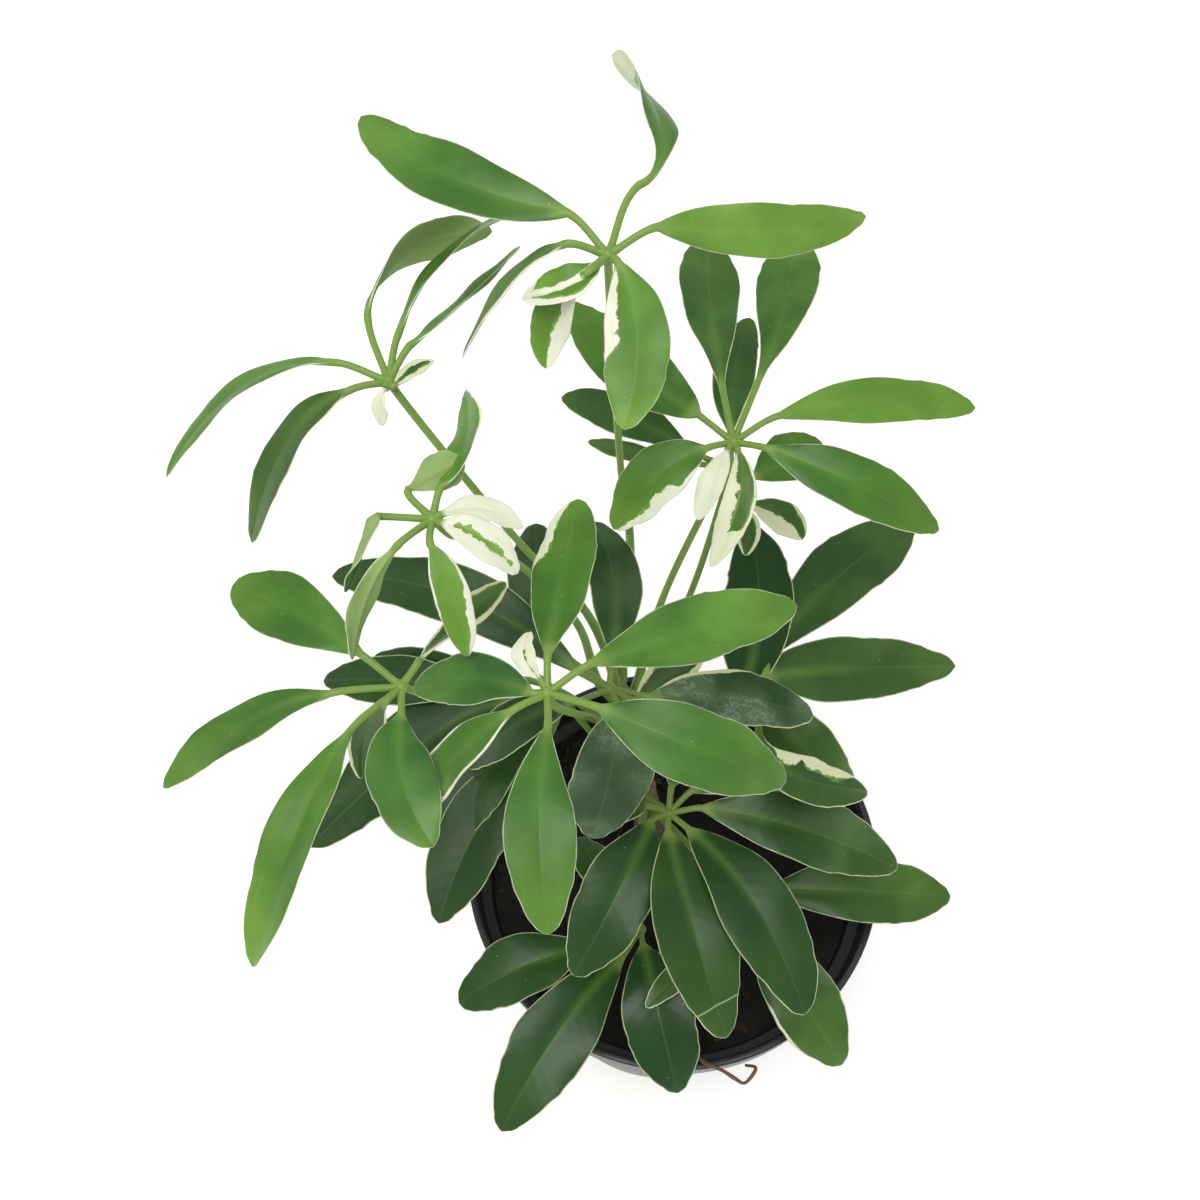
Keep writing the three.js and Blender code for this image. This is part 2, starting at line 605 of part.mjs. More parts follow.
// Materials.
const blackPlastic = new THREE.MeshStandardMaterial({ color: 0x202224, roughness: 0.5, metalness: 0 });
const darkPeat = new THREE.MeshStandardMaterial({ color: 0x1c1712, roughness: 0.95, metalness: 0 });
const paleBark = new THREE.MeshStandardMaterial({ color: 0x8b7a5c, roughness: 0.8, metalness: 0 });
const leafGreen = new THREE.MeshStandardMaterial({ color: 0x4c8438, roughness: 0.35, metalness: 0 });
const witheredBrown = new THREE.MeshStandardMaterial({ color: 0x4a3524, roughness: 0.85, metalness: 0 });

// A named mesh from a solid.
function meshOf(name, solid, material) {
  const { vertProperties, triVerts } = solid.getMesh();
  const geometry = new THREE.BufferGeometry();
  geometry.setAttribute('position', new THREE.BufferAttribute(new Float32Array(vertProperties), 3));
  geometry.setIndex(new THREE.BufferAttribute(new Uint32Array(triVerts), 1));
  geometry.computeVertexNormals();
  const mesh = new THREE.Mesh(geometry, material);
  mesh.name = name;
  return mesh;
}

const plant = new THREE.Group();
plant.name = 'potted_umbrella_plant';
plant.add(meshOf('pot', potSolid(), blackPlastic));
plant.add(meshOf('soil', soilSolid(), darkPeat));
plant.add(meshOf('stem', stemSolid(0), paleBark));
for (const leaf of leaves) {
  plant.add(meshOf(leaf.name, leafSolid(leaf), leafGreen));
}
plant.add(meshOf('withered_stalk', witheredSolid(), witheredBrown));

export default plant;
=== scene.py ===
import math
import random

import bpy
import numpy as np
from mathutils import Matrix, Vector, noise


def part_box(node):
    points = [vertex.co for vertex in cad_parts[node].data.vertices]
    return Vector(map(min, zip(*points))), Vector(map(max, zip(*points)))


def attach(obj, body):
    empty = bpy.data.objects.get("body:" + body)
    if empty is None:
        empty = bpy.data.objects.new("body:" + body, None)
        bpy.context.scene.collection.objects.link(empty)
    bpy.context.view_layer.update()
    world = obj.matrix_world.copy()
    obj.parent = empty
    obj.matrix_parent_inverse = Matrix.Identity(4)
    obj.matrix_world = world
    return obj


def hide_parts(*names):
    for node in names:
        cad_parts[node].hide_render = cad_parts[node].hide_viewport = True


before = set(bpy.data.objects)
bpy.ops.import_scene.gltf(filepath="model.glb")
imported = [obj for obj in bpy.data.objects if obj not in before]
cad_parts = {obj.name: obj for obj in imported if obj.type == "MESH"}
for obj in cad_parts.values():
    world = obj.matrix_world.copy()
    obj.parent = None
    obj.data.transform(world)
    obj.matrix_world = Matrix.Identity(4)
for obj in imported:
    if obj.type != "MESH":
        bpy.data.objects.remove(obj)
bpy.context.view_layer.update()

MM = 0.001

# The pot.
# A thin-walled nursery pot, injection moulded in one shot from black polypropylene. It tapers to
# its foot, steps out into a rim band and ends in a rolled lip. It stands on a ring and a middle
# disc, with six drain holes in the raised channel between them.
POT_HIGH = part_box("pot")[1]
RIM = POT_HIGH.x
TOP = POT_HIGH.z
FOOT = RIM - 23 * MM
WALL = 1.5 * MM
LIP_BEAD, LIP_HEIGHT = 2.6 * MM, 2.6 * MM
BAND_HEIGHT, BAND_STEP, BAND_SLOPE = 16 * MM, 5 * MM, 1.5 * MM
FLOOR_LIFT, FOOT_RING, FOOT_DISC, CHANNEL_SLOPE = 3.5 * MM, 8 * MM, 20 * MM, 2 * MM
DRAIN_HOLES, DRAIN_RADIUS, DRAIN_CIRCLE = 6, 5 * MM, 33 * MM
POT_STEPS, DRILL_STEPS = 144, 32
BAND_FOOT = TOP - BAND_HEIGHT
CORNER_ROUND, MOULD_EDGE, SHARP_ANGLE = 0.9 * MM, 0.6 * MM, 50


def pot_inside(height):
    """The pot's inner radius at a height below the rim band."""
    return FOOT + (RIM - BAND_STEP - WALL - FOOT) * height / BAND_FOOT - WALL


def mesh_piece(name, points, faces, slot):
    """A smooth mesh object that rides on the pot's body; its slot is not used."""
    mesh = bpy.data.meshes.new(name)
    mesh.from_pydata([tuple(point) for point in points], [], faces)
    mesh.shade_smooth()
    piece = bpy.data.objects.new(name, mesh)
    bpy.context.scene.collection.objects.link(piece)
    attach(piece, "root")
    return piece


def keep_modifier(piece):
    """Turns a piece's modifiers into plain mesh."""
    graph = bpy.context.evaluated_depsgraph_get()
    shaped = bpy.data.meshes.new_from_object(piece.evaluated_get(graph))
    piece.modifiers.clear()
    piece.data = shaped


def rounded(corners, radius, steps=4):
    """A profile of (radius, height) corners with each corner but the ends rounded off."""
    profile = [corners[0]]
    for before, corner, after in zip(corners, corners[1:], corners[2:]):
        corner = np.array(corner)
        back, on = np.array(before) - corner, np.array(after) - corner
        cut = min(radius, np.linalg.norm(back) / 2, np.linalg.norm(on) / 2)
        start = corner + back / np.linalg.norm(back) * cut
        end = corner + on / np.linalg.norm(on) * cut
        for step in range(steps + 1):
            t = step / steps
            profile.append(tuple((1 - t) ** 2 * start + 2 * t * (1 - t) * corner + t * t * end))
    return profile + [corners[-1]]


def turned(profile, steps):
    """Points and faces of a closed solid turned about the z axis; the profile's ends are on it."""
    points = [(0, 0, profile[0][1]), (0, 0, profile[-1][1])]
    for r, z in profile[1:-1]:
        for step in range(steps):
            angle = 2 * math.pi * step / steps
            points.append((r * math.cos(angle), r * math.sin(angle), z))
    rings = len(profile) - 2
    faces = []
    for step in range(steps):
        beside = (step + 1) % steps
        faces.append((0, 2 + beside, 2 + step))
        last = 2 + (rings - 1) * steps
        faces.append((1, last + step, last + beside))
        for ring in range(rings - 1):
            low = 2 + ring * steps
            faces.append((low + step, low + beside, low + steps + beside, low + steps + step))
    return points, faces


def linear(colour):
    """An sRGB hex colour as linear red, green, blue and alpha."""
    parts = [int(colour[i:i + 2], 16) / 255 for i in (1, 3, 5)]
    return [p / 12.92 if p <= 0.04045 else ((p + 0.055) / 1.055) ** 2.4 for p in parts] + [1.0]


def add(tree, kind, sockets=None, **settings):
    """Adds a node with its settings and links, and returns its first output that is in use.

    A socket takes a number, a hex colour or the output of another node.
    """
    made = tree.nodes.new("ShaderNode" + kind)
    for name, value in settings.items():
        setattr(made, name, value)
    for key, value in (sockets or {}).items():
        if isinstance(value, bpy.types.NodeSocket):
            tree.links.new(value, made.inputs[key])
        else:
            made.inputs[key].default_value = linear(value) if isinstance(value, str) else value
    return next(output for output in made.outputs if output.enabled)


def finish_of(name):
    """A new material: its node tree and its surface shader."""
    material = bpy.data.materials.new(name)
    material.use_nodes = True
    return material, material.node_tree, material.node_tree.nodes["Principled BSDF"]


def wear(tree, shader, colour, roughness, height, depth):
    """Links a surface's colour, roughness and fine relief; depth is the relief's in metres."""
    tree.links.new(colour, shader.inputs["Base Color"])
    tree.links.new(roughness, shader.inputs["Roughness"])
    bump = add(tree, "Bump", {"Height": height, "Strength": 1.0, "Distance": depth})
    tree.links.new(bump, shader.inputs["Normal"])


def black_polypropylene():
    """Satin black plastic, fine grain, faint scuffs, dried water marks, and a foot paled by chalk and
    by a painted reflection of the white floor.
    """
    material, tree, shader = finish_of("black_polypropylene")
    place = add(tree, "TexCoord").node.outputs["Object"]
    squashed = add(tree, "Mapping", {"Vector": place, "Scale": (1, 1, 9)})
    grain = add(tree, "TexNoise", {"Vector": place, "Scale": 1.4 / MM, "Detail": 3})
    scuffs = add(tree, "TexNoise", {"Vector": squashed, "Scale": 70, "Detail": 6})
    marks = add(tree, "TexNoise", {"Vector": place, "Scale": 38, "Detail": 9, "Roughness": 0.7})
    dried = add(tree, "MapRange", {0: marks, 1: 0.55, 2: 0.75, 3: 0.0, 4: 0.16})
    body = add(tree, "Mix", {0: scuffs, 6: "#17191b", 7: "#26282b"}, data_type="RGBA")
    marked = add(tree, "Mix", {0: dried, 6: body, 7: "#8a8d8c"}, data_type="RGBA")
    height = add(tree, "SeparateXYZ", {0: place}).node.outputs["Z"]
    # Paler towards the foot: partly chalk, partly a painted reflection of the white floor.
    chalk_and_floor_reflection = add(tree, "MapRange", {0: height, 1: 2 * MM, 2: 34 * MM, 3: 0.26, 4: 0.0})
    colour = add(tree, "Mix", {0: chalk_and_floor_reflection, 6: marked, 7: "#a89f93"}, data_type="RGBA")
    satin = add(tree, "MapRange", {0: scuffs, 1: 0.3, 2: 0.7, 3: 0.3, 4: 0.46})
    wear(tree, shader, colour, satin, grain, 0.03 * MM)
    shader.inputs["IOR"].default_value = 1.49
    return material


def make_pot():
    """The moulded shell with its drain holes cut through the raised channel."""
    lip_foot, lip_inner, edge = TOP - LIP_HEIGHT, RIM - LIP_BEAD, MOULD_EDGE
    corners = [
        (0, 0), (FOOT_DISC, 0), (FOOT_DISC + CHANNEL_SLOPE, FLOOR_LIFT),
        (FOOT - FOOT_RING - CHANNEL_SLOPE, FLOOR_LIFT), (FOOT - FOOT_RING, 0), (FOOT, 0),
        (pot_inside(BAND_FOOT) + WALL, BAND_FOOT), (RIM - 2 * edge, BAND_FOOT + BAND_SLOPE),
        (RIM - edge, lip_foot), (RIM, lip_foot + edge), (RIM, TOP), (lip_inner, TOP),
        (lip_inner, lip_foot + edge), (lip_inner - edge, lip_foot),
        (lip_inner - 2 * edge, BAND_FOOT + 2 * BAND_SLOPE),
        (pot_inside(BAND_FOOT), BAND_FOOT + BAND_SLOPE / 2),
        (pot_inside(FLOOR_LIFT + WALL), FLOOR_LIFT + WALL), (0, FLOOR_LIFT + WALL),
    ]
    pot = mesh_piece("nursery_pot", *turned(rounded(corners, CORNER_ROUND), POT_STEPS), "pot")
    drills = []
    for hole in range(DRAIN_HOLES):
        angle = 2 * math.pi * (hole + 0.5) / DRAIN_HOLES
        bpy.ops.mesh.primitive_cylinder_add(
            radius=DRAIN_RADIUS, depth=6 * WALL, vertices=DRILL_STEPS,
            location=(DRAIN_CIRCLE * math.cos(angle), DRAIN_CIRCLE * math.sin(angle), FLOOR_LIFT),
        )
        drills.append(bpy.context.object)
    for drill in drills:
        cut = pot.modifiers.new("drain", "BOOLEAN")
        cut.object, cut.operation, cut.solver = drill, "DIFFERENCE", "EXACT"
    keep_modifier(pot)
    for drill in drills:
        bpy.data.objects.remove(drill)
    pot.data.set_sharp_from_angle(angle=math.radians(SHARP_ANGLE))
    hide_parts("pot")
    pot.data.materials.append(black_polypropylene())


make_pot()

# The soil.
# Damp dark peat with composted bark, pressed down by watering. Clods and bits of bark stand out
# of its top, with a few pale bits of twig, and it fills the pot to just below the rim band.
SOIL_TOP = 121 * MM
SOIL_ROLL = 1.3 * MM
CLOD_LENGTH, RIDGE_LENGTH = 22 * MM, 17 * MM
LUMP_LENGTH, CRUMB_LENGTH = 7 * MM, 1.6 * MM
LUMP_HEIGHT, CRUMB_HEIGHT = 0.9 * MM, 0.5 * MM
CLEARANCE = 0.3 * MM
SOIL_RINGS, SOIL_STEPS, CRUMB_ANGLE = 84, 200, 60
BARK_BITS, TWIG_BITS, SOIL_SEED = 420, 26, 11


def soil_height(x, y):
    """The soil's top: the rolling form of the solid, with clods and crumbs on it."""
    edge = pot_inside(SOIL_TOP) - CLEARANCE
    calm = min(1, 6 * (1 - math.hypot(x, y) / edge))
    turn = 2 * math.pi
    clods = math.cos(turn * x / CLOD_LENGTH) * math.cos(turn * y / CLOD_LENGTH)
    ridges = math.sin(turn * (x / 3 - y) / RIDGE_LENGTH)
    lumps = noise.fractal(Vector((x, y, 0)) / LUMP_LENGTH, 0.9, 2.1, 4)
    crumbs = abs(noise.noise(Vector((x, y, 3)) / CRUMB_LENGTH))
    rolling = SOIL_ROLL * (clods + 0.6 * ridges)
    return SOIL_TOP + calm * (rolling + LUMP_HEIGHT * lumps + CRUMB_HEIGHT * crumbs)


def bit(points, faces, tones, centre, sizes, turn, tone):
    """Adds one angular bit: an uneven block with chipped corners."""
    start = len(points)
    ahead = Vector((math.cos(turn), math.sin(turn), random.uniform(-0.3, 0.3))).normalized()
    side = ahead.cross(Vector((0, 0, 1))).normalized()
    up = side.cross(ahead)
    for along, across, rise in ((-1, -1, -1), (1, -1, -1), (1, 1, -1), (-1, 1, -1),
                                (-1, -1, 1), (1, -1, 1), (1, 1, 1), (-1, 1, 1)):
        chip = [random.uniform(0.55, 1.0) for _ in range(3)]
        corner = ahead * along * sizes[0] * chip[0] + side * across * sizes[1] * chip[1]
        points.append(centre + corner + up * rise * sizes[2] * chip[2])
        tones.append(tone)
    for face in ((3, 2, 1, 0), (4, 5, 6, 7), (0, 1, 5, 4), (1, 2, 6, 5), (2, 3, 7, 6), (3, 0, 4, 7)):
        faces.append(tuple(start + corner for corner in face))


def damp_peat():
    """Nearly black, matt and crumbly, with brown bark and paler twig where the tone says so."""
    material, tree, shader = finish_of("damp_peat_and_bark")
    place = add(tree, "TexCoord").node.outputs["Object"]
    tone = add(tree, "Attribute", attribute_name="tone")
    crumb = add(tree, "TexNoise", {"Vector": place, "Scale": 0.9 / MM, "Detail": 8, "Roughness": 0.75})
    patch = add(tree, "TexNoise", {"Vector": place, "Scale": 0.12 / MM, "Detail": 4})
    mixed = add(tree, "Math", {0: crumb, 1: 0.16, 2: tone}, operation="MULTIPLY_ADD")
    shifted = add(tree, "Math", {0: patch, 1: 0.12, 2: mixed}, operation="MULTIPLY_ADD")
    ramp = add(tree, "ValToRGB", {0: shifted})
    stops = ramp.node.color_ramp.elements
    stops[0].position, stops[0].color = 0.05, linear("#10100e")
    stops[1].position, stops[1].color = 1.0, linear("#8f7452")
    for position, colour in ((0.25, "#1b1a17"), (0.5, "#2b251d"), (0.75, "#544230")):
        stops.new(position).color = linear(colour)
    damp = add(tree, "MapRange", {0: patch, 1: 0.35, 2: 0.65, 3: 0.72, 4: 0.95})
    wear(tree, shader, ramp, damp, crumb, 0.5 * MM)
    shader.inputs["IOR"].default_value = 1.4
    return material


def make_soil():
    """The plug of soil with its uneven top, and the bits that lie in it."""
    random.seed(SOIL_SEED)
    edge = pot_inside(SOIL_TOP) - CLEARANCE
    floor = FLOOR_LIFT + WALL + CLEARANCE
    profile = [(0, floor), (pot_inside(floor) - CLEARANCE, floor)]
    profile += [(edge * (1 - ring / SOIL_RINGS), SOIL_TOP) for ring in range(SOIL_RINGS + 1)]
    points, faces = turned(profile, SOIL_STEPS)
    points = [
        Vector((x, y, soil_height(x, y) if z == SOIL_TOP else z)) for x, y, z in points
    ]
    tones = [0.0] * len(points)
    for number in range(BARK_BITS + TWIG_BITS):
        radius, angle = edge * math.sqrt(random.uniform(0, 0.93)), random.uniform(0, 2 * math.pi)
        x, y = radius * math.cos(angle), radius * math.sin(angle)
        size = random.uniform(0.5, 1.9) ** 1.4 * MM
        sizes, tone = (size, size * 0.7, size * 0.35), random.uniform(0.0, 0.42)
        if number >= BARK_BITS:
            sizes, tone = (random.uniform(3, 7) * MM, 0.55 * MM, 0.5 * MM), random.uniform(0.4, 0.72)
        centre = Vector((x, y, soil_height(x, y) + 0.3 * sizes[2]))
        bit(points, faces, tones, centre, sizes, random.uniform(0, math.pi), tone)
    soil = mesh_piece("soil_surface", points, faces, "soil")
    soil.data.attributes.new("tone", "FLOAT", "POINT").data.foreach_set("value", tones)
    soil.data.set_sharp_from_angle(angle=math.radians(CRUMB_ANGLE))
    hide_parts("soil")
    soil.data.materials.append(damp_peat())


make_soil()

# The stem.
# One short woody stem, rooted in the soil and leaning back and to the left. Grey-brown bark with
# corky pores, ringed by the scars of leaves that fell, and green only at the growing tip.
STEM_LINE = [
    (-5, 12, 84, 4.6), (-7, 16, 112, 6), (-9, 20, 132, 5.6), (-13, 27, 160, 5),
    (-18, 36, 188, 4.4), (-21, 41, 203, 3.6), (-22, 43, 210, 1.6),
]
STEM_SIDES, STEM_STEPS, FINE_STEPS = 28, 120, 8
SCAR_SPACING, SCAR_HALF_WIDTH, SCAR_HEIGHT = 9 * MM, 0.9 * MM, 0.35 * MM
BARK_INSET, BARK_RELIEF, BARK_GRAIN = 0.3 * MM, 0.25 * MM, 2.5 * MM


def smooth_curve(knots, rows, at):
    """Rows of values at places along a smooth curve that has the given rows at its knots."""
    slopes = np.gradient(rows, knots, axis=0)
    span = np.clip(np.searchsorted(knots, at, side="right") - 1, 0, len(knots) - 2)
    width = (knots[span + 1] - knots[span])[:, None]
    t = (at - knots[span])[:, None] / width
    return (
        (2 * t ** 3 - 3 * t ** 2 + 1) * rows[span] + (t ** 3 - 2 * t ** 2 + t) * width * slopes[span]
        + (3 * t ** 2 - 2 * t ** 3) * rows[span + 1] + (t ** 3 - t ** 2) * width * slopes[span + 1]
    )


def travelled(points):
    """How far along a line of points each of them lies."""
    return np.concatenate(([0], np.cumsum(np.linalg.norm(np.diff(points[:, :3], axis=0), axis=1))))


def smooth_line(points, steps):
    """Points evenly shared along a smooth curve through the given ones, as an array."""
    points = np.array(points, float)
    gaps = np.sqrt(np.linalg.norm(np.diff(points[:, :3], axis=0), axis=1))
    knots = np.concatenate(([0], np.cumsum(gaps)))
    fine = smooth_curve(knots, points, np.linspace(0, knots[-1], steps * FINE_STEPS + 1))
    travel = travelled(fine)
    shares = np.linspace(0, travel[-1], steps + 1)
    return np.stack([np.interp(shares, travel, column) for column in fine.T], axis=1)


def unit(vectors):
    """Each row as a direction of length one."""
    return vectors / np.linalg.norm(vectors, axis=-1, keepdims=True)


def tube_points(line, radii, sides):
    """The points of a tube along a line, ring after ring, as an array."""
    ahead = unit(np.gradient(line, axis=0))
    side = unit(np.cross(ahead[0], (0.3, 0.2, 1)))
    points = []
    for middle, along, radius in zip(line, ahead, radii):
        side = unit(side - along * side.dot(along))
        up = np.cross(along, side)
        for step in range(sides):
            angle = 2 * math.pi * step / sides
            points.append(middle + radius * (math.cos(angle) * side + math.sin(angle) * up))
    return np.array(points)


def ring_faces(rings, sides):
    """Faces that join rings of points one after another, with a face at each end."""
    faces = [tuple(reversed(range(sides)))]
    for ring in range(rings - 1):
        for step in range(sides):
            here, beside = ring * sides + step, ring * sides + (step + 1) % sides
            faces.append((here, beside, beside + sides, here + sides))
    faces.append(tuple((rings - 1) * sides + step for step in range(sides)))
    return faces


def stem_bark():
    """Dry grey-brown bark, matt, with fine cracks along it, corky pores and a green young tip."""
    material, tree, shader = finish_of("stem_bark")
    place = add(tree, "TexCoord").node.outputs["Object"]
    drawn = add(tree, "Mapping", {"Vector": place, "Scale": (1, 1, 0.25)})
    cracks = add(tree, "TexNoise", {"Vector": drawn, "Scale": 0.9 / MM, "Detail": 7, "Roughness": 0.7})
    pores = add(tree, "TexVoronoi", {"Vector": place, "Scale": 0.45 / MM})
    pore = add(tree, "MapRange", {0: pores, 1: 0.12, 2: 0.28, 3: 0.55, 4: 0.0})
    bark = add(tree, "Mix", {0: cracks, 6: "#5f4b34", 7: "#a5977a"}, data_type="RGBA")
    pored = add(tree, "Mix", {0: pore, 6: bark, 7: "#c1b08c"}, data_type="RGBA")
    height = add(tree, "SeparateXYZ", {0: place}).node.outputs["Z"]
    young = add(tree, "MapRange", {0: height, 1: 176 * MM, 2: 204 * MM, 3: 0.0, 4: 0.9})
    colour = add(tree, "Mix", {0: young, 6: pored, 7: "#6f8a45"}, data_type="RGBA")
    dull = add(tree, "MapRange", {0: cracks, 1: 0.2, 2: 0.8, 3: 0.7, 4: 0.92})
    wear(tree, shader, colour, dull, cracks, 0.35 * MM)
    return material


def make_stem():
    """The stem with its leaf scars as low rings and an uneven bark."""
    line = smooth_line(STEM_LINE, STEM_STEPS) * MM
    from_scar = (travelled(line) % SCAR_SPACING - SCAR_SPACING / 2) / SCAR_HALF_WIDTH
    radii = line[:, 3] + SCAR_HEIGHT * np.exp(-from_scar ** 2) - BARK_INSET
    points = tube_points(line[:, :3], radii, STEM_SIDES)
    centres = np.repeat(line[:, :3], STEM_SIDES, axis=0)
    rough = [BARK_RELIEF * noise.fractal(Vector(p) / BARK_GRAIN, 0.8, 2.0, 4) for p in points]
    points = points + unit(points - centres) * np.array(rough)[:, None]
    stem = mesh_piece("woody_stem", points, ring_faces(len(line), STEM_SIDES), "stem")
    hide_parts("stem")
    stem.data.materials.append(stem_bark())


make_stem()

# The leaves.
# Thirteen palmate leaves. Each grew in one piece: a round green petiole, a small knot at its end,
# and a ring of leathery leaflets on short stalks, glossy above, paler and matt below, edged and
# splashed with cream where the tissue holds no green. The underside's pale tone is partly painted
# light shining through the blade.


def leaflet(turn, stalk, aim, long, drop, wide, roll, both=(), **more):
    """One leaflet's values by name, in degrees and millimetres as seen from above.

    turn, stalk         direction and length of its own stalk
    aim, long, drop     direction, length and fall of its blade from base to tip
    wide, roll          width of the blade, and its tilt at the base
    both                patches of cream on both halves, given as left and right are

    Some leaflets have some of these as well.
    lift                rise of the stalk
    arch, bow, early    how far the blade rises and bends to its left, most at early
    blue, dust          from 0 to 1, a bluish tinge and a dull grey bloom, partly dust and partly painted sheen
    twist, fold         growth of the tilt towards the tip, and the V fold along the midrib
    age                 from 0, fresh lime green, to 1, old dark green, if not the leaf's own
    blue, dust          from 0 to 1, a bluish tinge and a dull grey bloom
    left, right         patches of cream on that half: from, to along the blade, and share of the half
    middle              cream along the midrib: from, to, and its half width
    scar                a healed crack across the blade: its place along it, and its slant
    """
    values = dict(turn=turn, stalk=stalk, aim=aim, long=long, drop=drop, wide=wide, roll=roll)
    return {**values, "left": both, "right": both, **more}


